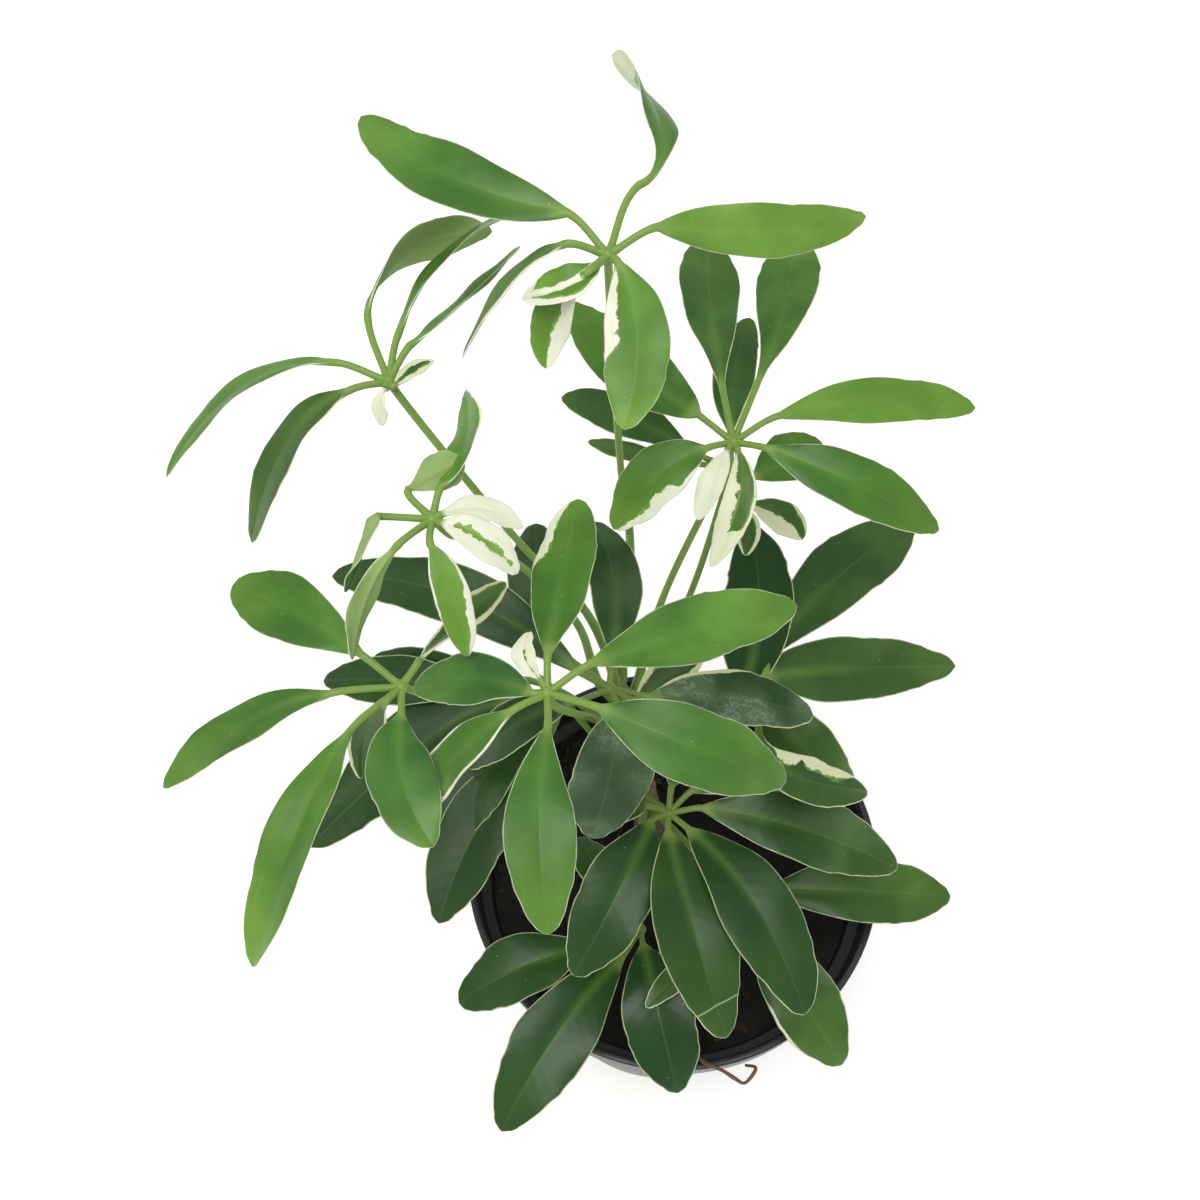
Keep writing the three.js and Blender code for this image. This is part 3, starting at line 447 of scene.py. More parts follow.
# The leaves lie as the solids do. Their values were worked out from points and outlines traced on
# the photograph, and rounded. A petiole starts inside the stem at the height foot, leaves it at the
# angle leave, passes the points of its way and rises to its hub at the angle arrive.
LEAVES = [
    dict(
        node="leaf_1", hub=(-25, 80, 380), foot=201, leave=40, arrive=88,
        way=[(-17, 64, 224), (-17, 79, 241), (-20, 81, 272)], age=0.15,
        leaflets=[
            leaflet(132, 15, 146, 68, -4, 17, 15, arch=3, bow=8, belly=0.5, twist=-4, age=0.4),
            leaflet(69, 22, 96, 63, -14, 14, 15, arch=2, bow=-9, early=0.35, belly=0.67, twist=-118,
                    fold=11, age=0.45, both=[(0.66, 1.1, 1.3)]),
            leaflet(28, 14, 16, 59, -14, 14, -28, arch=1, bow=-4, early=0.58, belly=0.49, twist=-30,
                    age=0.1),
            leaflet(175, 11, -159, 30, -33, 9, -26, arch=8, fold=12, age=0.5, left=[(0.15, 1, 0.3)]),
            leaflet(-123, 4, -166, 20, -7, 11, 5, lift=1, arch=2, bow=4, fold=16,
                    left=[(0.1, 1.1, 0.2), (0.45, 1.1, 0.4), (0.8, 1.1, 1.3)], right=[(0.82, 1.1, 1.3)],
                    middle=(0, 1, 1.2)),
            leaflet(-124, 9, -133, 16, -24, 11, 12, lift=2, bow=-4, fold=12, left=[(0, 1.1, 0.85)]),
            leaflet(-52, 4, -88, 42, -13, 17, -5, lift=1, arch=2, bow=4, age=0.22,
                    right=[(0, 0.66, 0.4)]),
        ],
    ),
    dict(
        node="leaf_2", hub=(-85, 70, 340), foot=197, leave=75, arrive=60,
        way=[(-26, 45, 228), (-33, 48, 250), (-50, 52, 280)], age=0.35,
        leaflets=[
            leaflet(109, 21, 52, 53, -11, 15, 59, lift=2, arch=5, bow=7, early=0.44, belly=0.59,
                    twist=55, age=0.3),
            leaflet(82, 15, 54, 66, -7, 11, 50, lift=2, arch=3, bow=7, belly=0.52, twist=-8),
            leaflet(63, 12, 57, 53, -10, 10, 42, lift=2, bow=-1),
            leaflet(162, 16, -165, 55, -36, 11, -22, lift=2, arch=5, bow=-8, age=0.3),
            leaflet(-156, 11, -139, 41, -36, 13.5, -14, lift=2, arch=9, bow=-3, age=0.72),
            leaflet(-54, 3, 48, 15, -3, 5, -5, lift=1, bow=1, age=0.7,
                    both=[(0, 1.1, 0.5), (0.85, 1.1, 1.3)]),
            leaflet(-99, 3, -101, 7, -8, 5, -14, lift=1, arch=2, bow=-1, belly=0.68, twist=-15,
                    both=[(0, 1.1, 1.3)]),
        ],
    ),
    dict(
        node="leaf_3", hub=(13, 77, 300), foot=189, leave=55, arrive=74, way=[(-6, 57, 240)], age=0.3,
        leaflets=[
            leaflet(99, 18, 92, 67, -9, 20, -8, bow=1, belly=0.66, age=0.58),
            leaflet(68, 21, 76, 67, -9, 20, 5, bow=-2, belly=0.7, age=0.5),
            leaflet(29, 15, 12, 66, -15, 15.5, -12, arch=3, bow=2, age=0.14),
            leaflet(-24, 10, -19, 56, -17, 18, -10, arch=6, bow=-2, age=0.36),
            leaflet(-157, 9, -150, 32, -20, 18, 10, lift=2, arch=6, bow=-1,
                    left=[(0.1, 1.1, 0.14), (0.35, 0.8, 0.42), (0.6, 1.1, 0.34)]),
            leaflet(143, 13, 130, 63, -7, 19, 18, bow=2, belly=0.47, age=0.36),
            leaflet(-118, 4, -116, 21, -9, 8, 0, lift=1, arch=3, both=[(0, 1.1, 1.3)]),
            leaflet(-75, 4, -105, 31, -17, 10, 0, lift=1, arch=6, bow=4, age=0.6,
                    left=[(0, 1.1, 0.16), (0.66, 1.1, 1.3)],
                    right=[(0, 1.1, 0.5), (0.25, 1.1, 0.85), (0.7, 1.1, 1.3)]),
        ],
    ),
    dict(
        node="leaf_4", hub=(16, 93, 262), foot=181, leave=45, arrive=62, way=[(5, 69, 225)], age=0.66,
        leaflets=[
            leaflet(90, 12, 80, 55, -8, 15, 8, lift=2, bow=2, age=0.6, blue=0.3),
            leaflet(162, 14, 147, 51, -8, 15, 10, lift=2, arch=3, bow=-1, age=0.6, blue=0.3),
            leaflet(178, 18, 149, 34, -14, 6.5, 40, lift=2, arch=1, bow=1),
            leaflet(-20, 8, 38, 31, -8, 18, -10, lift=-2, age=0.42),
            leaflet(-73, 15, -22, 20, -12, 11, -6, lift=2, arch=3, bow=1, early=0.67, belly=0.62,
                    twist=-30, age=0.8, left=[(0.6, 1.1, 0.2)], right=[(0, 1.1, 0.9)]),
            leaflet(-85, 16, -75, 11, -14, 8, 0, lift=2, arch=1, bow=2, both=[(0, 1.1, 0.3)]),
        ],
    ),
    dict(
        node="leaf_5", hub=(-72, 32, 330), foot=192, leave=70, arrive=70,
        way=[(-28, 35, 222), (-34, 41, 250), (-49, 45, 278), (-65, 37, 312)], age=0.3,
        leaflets=[
            leaflet(132, 10, 35, 18, -2, 11, 170, arch=1, early=0.63, belly=0.64, twist=-20, age=0.3),
            leaflet(76, 8, 82, 35, -4, 14, 34, arch=1, bow=-4, twist=30, age=0.22,
                    right=[(0.3, 1.1, 0.08)]),
            leaflet(-176, 14, -141, 15, -25, 8, 173, arch=9, bow=2, early=0.44, twist=-57, age=0.45),
            leaflet(-130, 13, -121, 26, -23, 10, -119, bow=-3, early=0.48, belly=0.63, twist=21,
                    age=0.2),
            leaflet(-89, 9, -68, 24, -22, 10, -8, lift=2, arch=4, bow=1, age=0.08,
                    left=[(0.1, 0.7, 0.16), (0.42, 1.05, 0.4)], right=[(0, 0.75, 0.1)]),
            leaflet(15, 2, 2, 22, -8, 8, 0, lift=1, arch=2, bow=3, both=[(0, 1.1, 1.3)]),
            leaflet(-36, 3, -27, 23, -9, 11, 0, lift=1, arch=4, bow=1, age=0.1,
                    both=[(-1, 0.26, 1.3), (0, 1.1, 0.78), (0.82, 1.1, 1.3)]),
        ],
    ),
    dict(
        node="leaf_6", hub=(-83, 1, 290), foot=177, leave=60, arrive=62,
        way=[(-31, 30, 209), (-50, 24, 245)], age=0.35,
        leaflets=[
            leaflet(143, 14, 147, 50, -9, 20, 12, arch=2, bow=-1, belly=0.62, age=0.4),
            leaflet(-170, 19, -155, 53, -15, 15, -15, arch=4, bow=-3, age=0.4),
            leaflet(-131, 20, -113, 64, -23, 18, -22, arch=12, bow=1, fold=20, age=0.32),
            leaflet(-86, 9, -74, 41, 3, 19, 8, lift=1, arch=4, bow=-4, age=0.42, blue=0.6),
            leaflet(53, 8, 52, 38, -8, 10, 59, arch=-6, bow=3, early=0.35, belly=0.62, twist=-82,
                    age=0.68, both=[(0, 1.1, 0.24)]),
            leaflet(-124, 7, -130, 15, -28, 11, 60, lift=2, bow=-3, age=0.7, left=[(0, 1.1, 0.1)],
                    right=[(0, 1.1, 0.12)]),
        ],
    ),
    dict(
        node="leaf_7", hub=(-41, -10, 310), foot=185, leave=60, arrive=78, way=[(-31, 11, 246)],
        age=0.25,
        leaflets=[
            leaflet(90, 10, 82, 55, -9, 18, 12, age=0.42, left=[(0.5, 1.05, 0.3)]),
            leaflet(32, 14, 22, 62, -11, 19, -10, bow=1, age=0.32, blue=0.15),
            leaflet(-22, 15, -15, 52, -17, 21, -15, arch=8, bow=-4, age=0.4, blue=0.15),
            leaflet(-88, 11, -89, 53, -7, 18, 2, arch=10, bow=-2, belly=0.64, age=0.4, blue=0.15),
            leaflet(-149, 11, -147, 37, -33, 17, -14, lift=1, arch=1, bow=-2, belly=0.58, twist=-17,
                    age=0.3, left=[(0, 1.1, 0.1)], right=[(0.3, 1.1, 0.1)]),
            leaflet(-172, 4, 166, 35, -17, 15, 10, lift=1, arch=2, bow=-3, age=0.54, blue=0.5),
            leaflet(118, 4, 103, 13, 3, 8, 31, lift=1, arch=2, bow=3, belly=0.6, twist=13, age=0.4,
                    left=[(0, 1.1, 0.85), (0.45, 1.1, 1.3)], right=[(0, 1.1, 0.75), (0.5, 1.1, 1.3)]),
        ],
    ),
    dict(
        node="leaf_8", hub=(-4, -4, 200), foot=152, leave=45, arrive=60, way=[], age=0.85,
        leaflets=[
            leaflet(-150, 7, -118, 54, -14, 24, 10, lift=2, arch=10, bow=2, age=0.95),
            leaflet(-94, 7, -75, 67, -10, 26, 12, lift=2, arch=9, bow=-2, left=[(0.3, 0.66, 0.22)],
                    scar=(0.86, 0.08)),
            leaflet(-45, 9, -58, 68, -12, 26, 8, lift=2, arch=9, bow=3, age=0.92),
            leaflet(4, 11, -13, 68, -17, 23, -10, arch=4, bow=2, age=0.8, dust=0.4),
            leaflet(84, 8, 74, 26, -8, 13, 0, arch=3),
            leaflet(42, 10, 32, 42, -14, 20, 0, arch=4),
            leaflet(170, 7, -176, 24, -10, 12, 0, arch=3),
        ],
    ),
    dict(
        node="leaf_9", hub=(-24, 21, 245), foot=169, leave=60, arrive=70, way=[(-17, 23, 215)],
        age=0.92, dust=0.4,
        leaflets=[
            leaflet(86, 10, 96, 54, -7, 18, -8, bow=-4),
            leaflet(-32, 10, 44, 30, -11, 12, 5, bow=1, both=[(0, 1.1, 0.3)]),
            leaflet(-18, 13, 0, 53, -15, 20, 5, arch=4, bow=1, dust=0.9, left=[(0, 0.6, 0.12)]),
            leaflet(-71, 10, -107, 30, -35, 26, 25, arch=11, bow=2, dust=0.8),
            leaflet(-151, 14, -164, 35, -27, 17, 0, arch=7, bow=-1, dust=0.1),
            leaflet(140, 22, 99, 50, -8, 20, 5, bow=2),
            leaflet(155, 11, 155, 90, -7, 20, 15, arch=5, bow=-7, dust=0.05),
        ],
    ),
    dict(
        node="leaf_10", hub=(22, 20.5, 222), foot=165, leave=35, arrive=70, way=[], age=0.85,
        leaflets=[
            leaflet(101, 7, 86, 68, -5, 25, 20, lift=4, bow=-4, early=0.54, belly=0.5, twist=-5, age=1),
            leaflet(75, 22, 46, 83, -7, 25, -20, lift=-3, arch=2, bow=4, early=0.44, belly=0.63,
                    twist=30, age=0.78),
            leaflet(70, 13, 10, 69, -17, 22, -22, lift=7, arch=-4, bow=3, early=0.43, belly=0.47,
                    twist=-5, age=0.75),
            leaflet(60, 10, -38, 41, -30, 21, -25, lift=6, arch=-2, bow=-3, belly=0.48, twist=-17,
                    age=0.62, dust=0.5),
            leaflet(-12, 4, -28, 40, -20, 16, -23, lift=6, arch=6, bow=-14, early=0.3, belly=0.62,
                    twist=30, age=0.82, left=[(0.15, 0.5, 0.62), (0.4, 0.95, 0.5)]),
        ],
    ),
    dict(
        node="leaf_11", hub=(-39, 32, 212), foot=160, leave=45, arrive=70, way=[], age=0.9,
        leaflets=[
            leaflet(174, 22, 159, 49, -13, 17, 25, arch=2, bow=1),
            leaflet(175, 27, 169, 59, -17, 17, 18, arch=6, bow=1),
            leaflet(-160, 17, -152, 80, -28, 28, -4, arch=3, bow=-8, early=0.3, belly=0.37, twist=21),
            leaflet(-123, 15, -128, 47, -11, 21, 0, arch=5, bow=-5),
            leaflet(-109, 18, -122, 65, -19, 24, 0, arch=5, bow=-4, age=0.92),
        ],
    ),
    dict(
        node="leaf_12", hub=(-13, -32, 160), foot=146, leave=15, arrive=20, way=[], age=0.85,
        leaflets=[
            leaflet(-159, 20, -159, 47, -9, 23, -5, arch=6, bow=-1, age=0.92),
            leaflet(-121, 13, -126, 68, -9, 25, 12, arch=9, bow=-2, age=0.93),
            leaflet(-82, 6, -76, 48, -16, 25, -10, lift=2, arch=10, bow=-1, age=1),
            leaflet(126, 12, 120, 29, -7, 13, 0, arch=1, bow=1),
        ],
    ),
    dict(
        node="leaf_13", hub=(22, -16, 155), foot=140, leave=15, arrive=20, way=[], age=0.62,
        leaflets=[
            leaflet(-5, 11, 0, 66, -9, 23, -8, arch=5, bow=-1, age=0.66),
            leaflet(-66, 17, -57, 51, -17, 24, -15, arch=9, bow=-2, age=0.7, right=[(0.4, 0.85, 0.06)]),
            leaflet(-114, 24, -135, 34, 3, 9, 0, lift=15, arch=2, age=0.8, dust=0.6),
        ],
    ),
]
STALK_LIFT, BELLY, EARLY, FOLD = 3, 0.56, 0.5, 8
PETIOLE_FOOT, PETIOLE_TOP, PETIOLE_SIDES, PETIOLE_STEPS = 1.9, 1.15, 16, 72
SHEATH_HEIGHT, SHEATH_PLACE, SHEATH_HALF_LENGTH = 0.7, 5, 3.5
LEAVE_LENGTH, ARRIVE_LENGTH = 12, 14
KNOT_RADIUS, KNOT_FLATNESS, KNOT_ROWS, KNOT_SIDES = 2.2, 0.85, 9, 16
STALK_RADIUS, STALK_BEND, STALK_ROWS = 1.0, 0.55, 12
HUB_SWELL, HUB_SWELL_LENGTH, BASE_SWELL, BASE_SWELL_LENGTH = 0.25, 2.5, 0.12, 2
BLADE_THICK, BLADE_START, BLADE_ROWS, TIP_FADE = 0.5, 0.14, 44, 0.03
RIB_HALF, RIB_DEPTH, GROOVE_DEPTH = 0.6, 0.55, 0.06
CUSHION, SWAY, TOOTH_DEPTH = 0.05, 0.03, 0.05
MARGIN_YOUNG, MARGIN_GROWTH, PATCH_FADE = 0.15, 0.21, 0.14
# Half width of a leaflet along its length, as a share of its greatest half width.
OUTLINE = [
    (0, 0.1), (0.07, 0.3), (0.17, 0.56), (0.31, 0.83), (0.46, 0.98), (0.6, 1),
    (0.74, 0.89), (0.86, 0.66), (0.94, 0.42), (0.98, 0.24), (1, 0.03),
]
# Places across one half of a blade, close together at the midrib and at the margin.
ACROSS = [0, 0.04, 0.12, 0.25, 0.4, 0.56, 0.72, 0.86, 0.95, 1]
# What the finish reads at every point, in threes, with distances in millimetres:
#   blade_place  the distance from the midrib, the distance from the blade's base, the leaflet's seed
#   blade_edge   the distance from the margin, the width of the cream at it, and at the midrib
#    blade_tint   age, blue, and the grey bloom of dust and painted sheen
#   blade_part   1 on a stalk, the share of the way to the tip, 1 on the underside
#   blade_marks  the distance ahead of a scar
LOOKS = ("blade_place", "blade_edge", "blade_tint", "blade_part", "blade_marks")
# A distance at which none of a blade's marks shows, in millimetres or in blades.
FAR = 9


def stem_at(height):
    """The point on the stem's middle line at a height."""
    line = np.array(STEM_LINE)
    return np.array([np.interp(height, line[:, 2], line[:, axis]) for axis in range(3)])


def petiole_line(leaf):
    """The petiole's middle line, from inside the stem, between the leaves under it, to the hub."""
    start, end = stem_at(leaf["foot"]), np.array(leaf["hub"], float)
    way = [np.array(point, float) for point in leaf["way"]]

    def step(origin, goal, angle, length):
        across = unit((goal - origin) * (1, 1, 0))
        rise = math.radians(angle)
        return length * (across * math.cos(rise) + np.array((0, 0, math.sin(rise))))

    first = start + step(start, (way + [end])[0], leaf["leave"], LEAVE_LENGTH)
    last = end - step(([start] + way)[-1], end, leaf["arrive"], ARRIVE_LENGTH)
    return smooth_line([start, first, *way, last, end], PETIOLE_STEPS)


def midrib(leaf, leaflet, share):
    """Points of a blade's midrib at an array of shares of its length."""
    turn, aim = math.radians(leaflet["turn"]), math.radians(leaflet["aim"])
    stalk, long = leaflet["stalk"], leaflet["long"]
    base = np.array(leaf["hub"]) + (
        stalk * math.cos(turn), stalk * math.sin(turn), leaflet.get("lift", STALK_LIFT),
    )
    shifted = np.maximum(share, 0) ** (math.log(0.5) / math.log(leaflet.get("early", EARLY)))
    hump = 4 * shifted * (1 - shifted)
    bow, arch = leaflet.get("bow", 0), leaflet.get("arch", 0)
    return base + np.stack([
        share * long * math.cos(aim) - hump * bow * math.sin(aim),
        share * long * math.sin(aim) + hump * bow * math.cos(aim),
        share * leaflet["drop"] + hump * arch,
    ], axis=1)


def half_widths(leaflet, share, seed):
    """Half widths of a blade at an array of shares, with shallow teeth towards its tip."""
    place = share ** (math.log(BELLY) / math.log(leaflet.get("belly", BELLY)))
    outline = np.array(OUTLINE)
    smooth = smooth_curve(outline[:, 0], outline[:, 1:], place)[:, 0]
    toothed = np.clip((share - 0.45) / 0.2, 0, 1) * np.clip((1 - share) / 0.06, 0, 1)
    teeth = np.abs(np.sin(share * 27 + seed)) * np.sin(share * 9 + 2 * seed) ** 2
    return leaflet["wide"] / 2 * np.maximum(smooth - TOOTH_DEPTH * toothed * teeth, 0.02)


def eased(t):
    """Rises smoothly from 0 to 1 as t goes from 0 to 1, and is level beyond."""
    t = np.clip(t, 0, 1)
    return t * t * (3 - 2 * t)


def cream_reach(patches, share):
    """How far in from the margin the cream comes at an array of shares, as a share of the half."""
    reach = 0 * share
    for start, end, part in patches:
        rise = eased((share - start) / PATCH_FADE + (start <= 0))
        reach = np.maximum(reach, part * rise * eased((end - share) / PATCH_FADE))
    return reach


def leaflet_line(leaf, leaflet):
    """A leaflet's middle line, from the hub to its tip, row by row.

    It gives the rows' places, their directions, their distances from the blade's base, which are
    below 0 on the stalk, and their shares of the way along the blade.
    """
    hub = np.array(leaf["hub"], float)
    share = 1 - (1 - np.linspace(0, 1, BLADE_ROWS + 1) ** 1.15) ** 1.25
    tiny = 1e-3
    ahead = unit(midrib(leaf, leaflet, share + tiny) - midrib(leaf, leaflet, share - tiny))
    blade = midrib(leaf, leaflet, share)
    out = blade[0] - hub
    reach = np.linalg.norm(out)
    t = np.linspace(0, 1, STALK_ROWS + 1)[:-1, None]
    bend = STALK_BEND * reach * (ahead[0] - out / reach)
    stalk = hub + t * out + (t ** 3 - t ** 2) * bend
    stalk_ahead = unit(out + (3 * t ** 2 - 2 * t) * bend)
    along = np.concatenate([t[:, 0] * reach - reach, share * leaflet["long"]])
    share = np.concatenate([0 * t[:, 0], share])
    return np.vstack([stalk, blade]), np.vstack([stalk_ahead, ahead]), along, share


def leaflet_rings(leaf, leaflet, seed):
    """A leaflet in one piece, stalk and blade: its rings of points, and what its finish reads."""
    middle, ahead, along, share = leaflet_line(leaf, leaflet)
    k = np.array([-x for x in reversed(ACROSS[1:])] + ACROSS)

    def halves(left, right):
        return np.where(k < 0, left[:, None], right[:, None])

    # The row's own directions: across the blade, tilted by its roll, and up from it.
    side = unit(np.cross(ahead, (0, 0, 1)))
    roll = np.radians(leaflet["roll"] + leaflet.get("twist", 0) * share)[:, None]
    side = side * np.cos(roll) + np.cross(side, ahead) * np.sin(roll)
    up = np.cross(side, ahead)

    # The round stalk, swollen at both ends, widens and flattens into the blade.
    on_blade = eased(along / (BLADE_START * leaflet["long"]))
    swollen = 1 + HUB_SWELL * np.exp(-((along - along[0]) / HUB_SWELL_LENGTH) ** 2)
    swollen = swollen + BASE_SWELL * np.exp(-(along / BASE_SWELL_LENGTH) ** 2)
    stalk_half = STALK_RADIUS * swollen * (1 - on_blade)
    half = np.where(along < 0, 0, half_widths(leaflet, share, seed))
    half = np.maximum(half, stalk_half)
    thick = BLADE_THICK / 2 * on_blade + stalk_half
    tip = np.clip((1 - share) / TIP_FADE, 0.25, 1)
    power = (2 + 6 * on_blade)[:, None]
    body = (thick * tip)[:, None] * np.sqrt(np.maximum(1 - np.abs(k) ** power, 0))

    # Each half stands up from a soft crease, is pillowed and waves at its margin.
    fold = math.sin(math.radians(leaflet.get("fold", FOLD))) * on_blade
    crease = np.sqrt(k ** 2 + 0.02) - 0.13
    cushion = CUSHION * np.sin(np.pi * np.abs(k)) * (1 - 0.5 * np.abs(k))
    wave = (0.22 + 0.02 * leaflet["wide"]) * on_blade * np.clip((1 - share) * 6, 0, 1)
    waves = halves(np.sin(14 * share + seed), np.sin(13 * share + 2 * seed))
    waves = wave[:, None] * waves * np.abs(k) ** 3
    lift = (half * fold)[:, None] * crease + (half * on_blade)[:, None] * cushion + waves

    # The midrib is a groove above and a rib below. The outline sways, each side by itself.
    at_rib = np.exp(-(np.abs(k) * half[:, None] / RIB_HALF) ** 2)
    rib = (RIB_DEPTH * on_blade * (1 - share) ** 0.8)[:, None] * at_rib
    groove = (GROOVE_DEPTH * on_blade * (1 - share) ** 0.5)[:, None] * at_rib
    sway = halves(np.sin(8 * share + 1.7 * seed), np.sin(9 * share + 2.9 * seed))
    sway = sway + 0.5 * halves(np.sin(21 * share + 2.3 * seed), np.sin(19 * share + 1.3 * seed))
    reach_out = half[:, None] * (1 + SWAY * on_blade[:, None] * sway)
    across = k * reach_out

    def surface(height, columns):
        return (
            middle[:, None] + side[:, None] * across[:, columns, None]
            + up[:, None] * height[:, columns, None]
        )

    every, inner = np.arange(len(k)), np.arange(len(k) - 2, 0, -1)
    upper, lower = surface(lift + body - groove, every), surface(lift - body - rib, inner)
    columns = np.concatenate([every, inner])
    cream = halves(cream_reach(leaflet["left"], share), cream_reach(leaflet["right"], share))
    cream = cream[:, columns] * half[:, None]
    margin = (reach_out - np.abs(across))[:, columns]
    across = across[:, columns]
    flat = np.zeros_like(across)
    age = leaflet.get("age", leaf["age"])
    thin_margin = ((MARGIN_YOUNG + MARGIN_GROWTH * age) * on_blade)[:, None]
    centre = cream_reach([leaflet.get("middle", (0, 0, 0))], share)[:, None]
    on_stalk = (1 - np.clip(along / (0.1 * leaflet["long"]), 0, 1))[:, None]
    under = np.arange(len(columns)) >= len(k)
    # The grey bloom: partly dust, partly painted sheen; where thick, dried water crust.
    dust = leaflet.get("dust", leaf.get("dust", 0))
    scar_place, scar_slant = leaflet.get("scar", (FAR, 0))
    scar = along[:, None] - scar_place * leaflet["long"] - scar_slant * across
    return np.concatenate([upper, lower], axis=1), {
        "blade_place": (across, flat + along[:, None], flat + seed),
        "blade_edge": (margin, thin_margin + cream, flat + centre),
        "blade_tint": (flat + age, flat + leaflet.get("blue", 0), flat + dust),
        "blade_part": (flat + on_stalk, flat + share[:, None], flat + under),
        "blade_marks": (scar, flat, flat),
    }


def living_leaf():
    """Waxy green tissue with soft mottling and a paler midrib; the cream parts have no green."""
    material, tree, shader = finish_of("living_leaf_tissue")
    read = {}
    for name in LOOKS:
        read[name] = add(tree, "Attribute", attribute_name=name)
    across, along, _ = add(tree, "SeparateXYZ", {0: read["blade_place"]}).node.outputs
    margin, cream_width, centre_width = add(tree, "SeparateXYZ", {0: read["blade_edge"]}).node.outputs
    age, blue, dust = add(tree, "SeparateXYZ", {0: read["blade_tint"]}).node.outputs
    on_stalk, share, under = add(tree, "SeparateXYZ", {0: read["blade_part"]}).node.outputs
    scar = add(tree, "SeparateXYZ", {0: read["blade_marks"]})
    place = add(tree, "TexCoord").node.outputs["Object"]
    squashed = add(tree, "Mapping", {"Vector": read["blade_place"], "Scale": (0.4, 1, 1)})
    drawn = add(tree, "Mapping", {"Vector": read["blade_place"], "Scale": (1, 0.14, 1)})
    jag = add(tree, "TexNoise", {"Vector": squashed, "Scale": 0.3, "Detail": 5, "Roughness": 0.62})
    streak = add(tree, "TexNoise", {"Vector": drawn, "Scale": 0.75, "Detail": 4})
    mottle = add(tree, "TexNoise", {"Vector": place, "Scale": 0.045 / MM, "Detail": 2})
    fine = add(tree, "TexNoise", {"Vector": place, "Scale": 1.6 / MM, "Detail": 4})
    fresh = add(tree, "Math", {0: 1.0, 1: age}, operation="SUBTRACT")

    # Green: darker with age, limier towards a young tip, mottled and faintly streaked.
    green = add(tree, "ValToRGB", {0: age})
    stops = green.node.color_ramp.elements
    stops[0].position, stops[0].color = 0.0, linear("#6c9636")
    stops[1].position, stops[1].color = 1.0, linear("#1c4019")
    for position, colour in ((0.2, "#4f7d27"), (0.4, "#3e6b22"), (0.65, "#32551f"), (0.85, "#27491d")):
        stops.new(position).color = linear(colour)
    bluish = add(tree, "Math", {0: blue, 1: 0.7}, operation="MULTIPLY")
    green = add(tree, "Mix", {0: bluish, 6: green, 7: "#2d6034"}, data_type="RGBA")
    tip = add(tree, "MapRange", {0: share, 1: 0.45, 2: 1.0, 3: 0.0, 4: 0.4})
    lime = add(tree, "MapRange", {0: mottle, 1: 0.42, 2: 0.68, 3: 0.0, 4: 0.3})
    lime = add(tree, "Math", {0: lime, 1: tip})
    lime = add(tree, "Math", {0: lime, 1: fresh}, operation="MULTIPLY")
    green = add(tree, "Mix", {0: lime, 6: green, 7: "#82ab41"}, data_type="RGBA")
    streaked = add(tree, "MapRange", {0: streak, 1: 0.3, 2: 0.7, 3: 0.96, 4: 1.04})
    light = add(tree, "MapRange", {0: mottle, 1: 0.3, 2: 0.7, 3: 0.88, 4: 1.1})
    light = add(tree, "Math", {0: light, 1: streaked}, operation="MULTIPLY")
    green = add(tree, "Mix", {0: 1.0, 6: green, 7: light}, data_type="RGBA", blend_type="MULTIPLY")

    # The midrib: a fine pale line in a soft lighter band that fades towards the tip.
    off_rib = add(tree, "Math", {0: across}, operation="ABSOLUTE")
    band = add(tree, "MapRange", {0: off_rib, 1: 0.3, 2: 2.6, 3: 0.3, 4: 0.0})
    fading = add(tree, "MapRange", {0: share, 1: 0.0, 2: 0.65, 3: 1.0, 4: 0.0})
    band = add(tree, "Math", {0: band, 1: fading}, operation="MULTIPLY")
    clear = add(tree, "MapRange", {0: age, 1: 0.2, 2: 0.8, 3: 0.06, 4: 0.18})
    line = add(tree, "MapRange", {0: off_rib, 1: 0.15, 2: 0.5, 3: clear, 4: 0.0})
    thinning = add(tree, "MapRange", {0: share, 1: 0.2, 2: 1.0, 3: 1.0, 4: 0.25})
    line = add(tree, "Math", {0: line, 1: thinning}, operation="MULTIPLY")
    rib = add(tree, "Math", {0: band, 1: line}, operation="MAXIMUM")
    green = add(tree, "Mix", {0: rib, 6: green, 7: "#83ab50"}, data_type="RGBA")

    # Old leaves are dulled by a broad grey bloom, partly dust and partly painted sheen, and, where
    # it is thick, by curls of dried water.
    dusty = add(tree, "MapRange", {0: mottle, 1: 0.4, 2: 0.62, 3: 0.0, 4: 0.34})
    dusty = add(tree, "Math", {0: dusty, 1: dust}, operation="MULTIPLY")
    green = add(tree, "Mix", {0: dusty, 6: green, 7: "#8d9e86"}, data_type="RGBA")
    curls = add(tree, "TexNoise", {"Vector": place, "Scale": 0.16 / MM, "Detail": 6, "Roughness": 0.66})
    curls = add(tree, "Math", {0: curls, 1: 0.5}, operation="SUBTRACT")
    curls = add(tree, "Math", {0: curls}, operation="ABSOLUTE")
    curls = add(tree, "MapRange", {0: curls, 1: 0.004, 2: 0.03, 3: 0.3, 4: 0.0})
    thick = add(tree, "MapRange", {0: dust, 1: 0.6, 2: 1.0, 3: 0.0, 4: 1.0})
    where = add(tree, "MapRange", {0: mottle, 1: 0.47, 2: 0.58, 3: 0.0, 4: thick})
    crust = add(tree, "Math", {0: curls, 1: where}, operation="MULTIPLY")
    specks = add(tree, "TexVoronoi", {"Vector": place, "Scale": 0.17 / MM})
    specks = add(tree, "MapRange", {0: specks, 1: 0.025, 2: 0.045, 3: 0.4, 4: 0.0})
    crust = add(tree, "Math", {0: crust, 1: specks}, operation="MAXIMUM")
    upper = add(tree, "Math", {0: 1.0, 1: under}, operation="SUBTRACT")
    crust = add(tree, "Math", {0: crust, 1: upper}, operation="MULTIPLY")
    green = add(tree, "Mix", {0: crust, 6: green, 7: "#ccd6c2"}, data_type="RGBA")

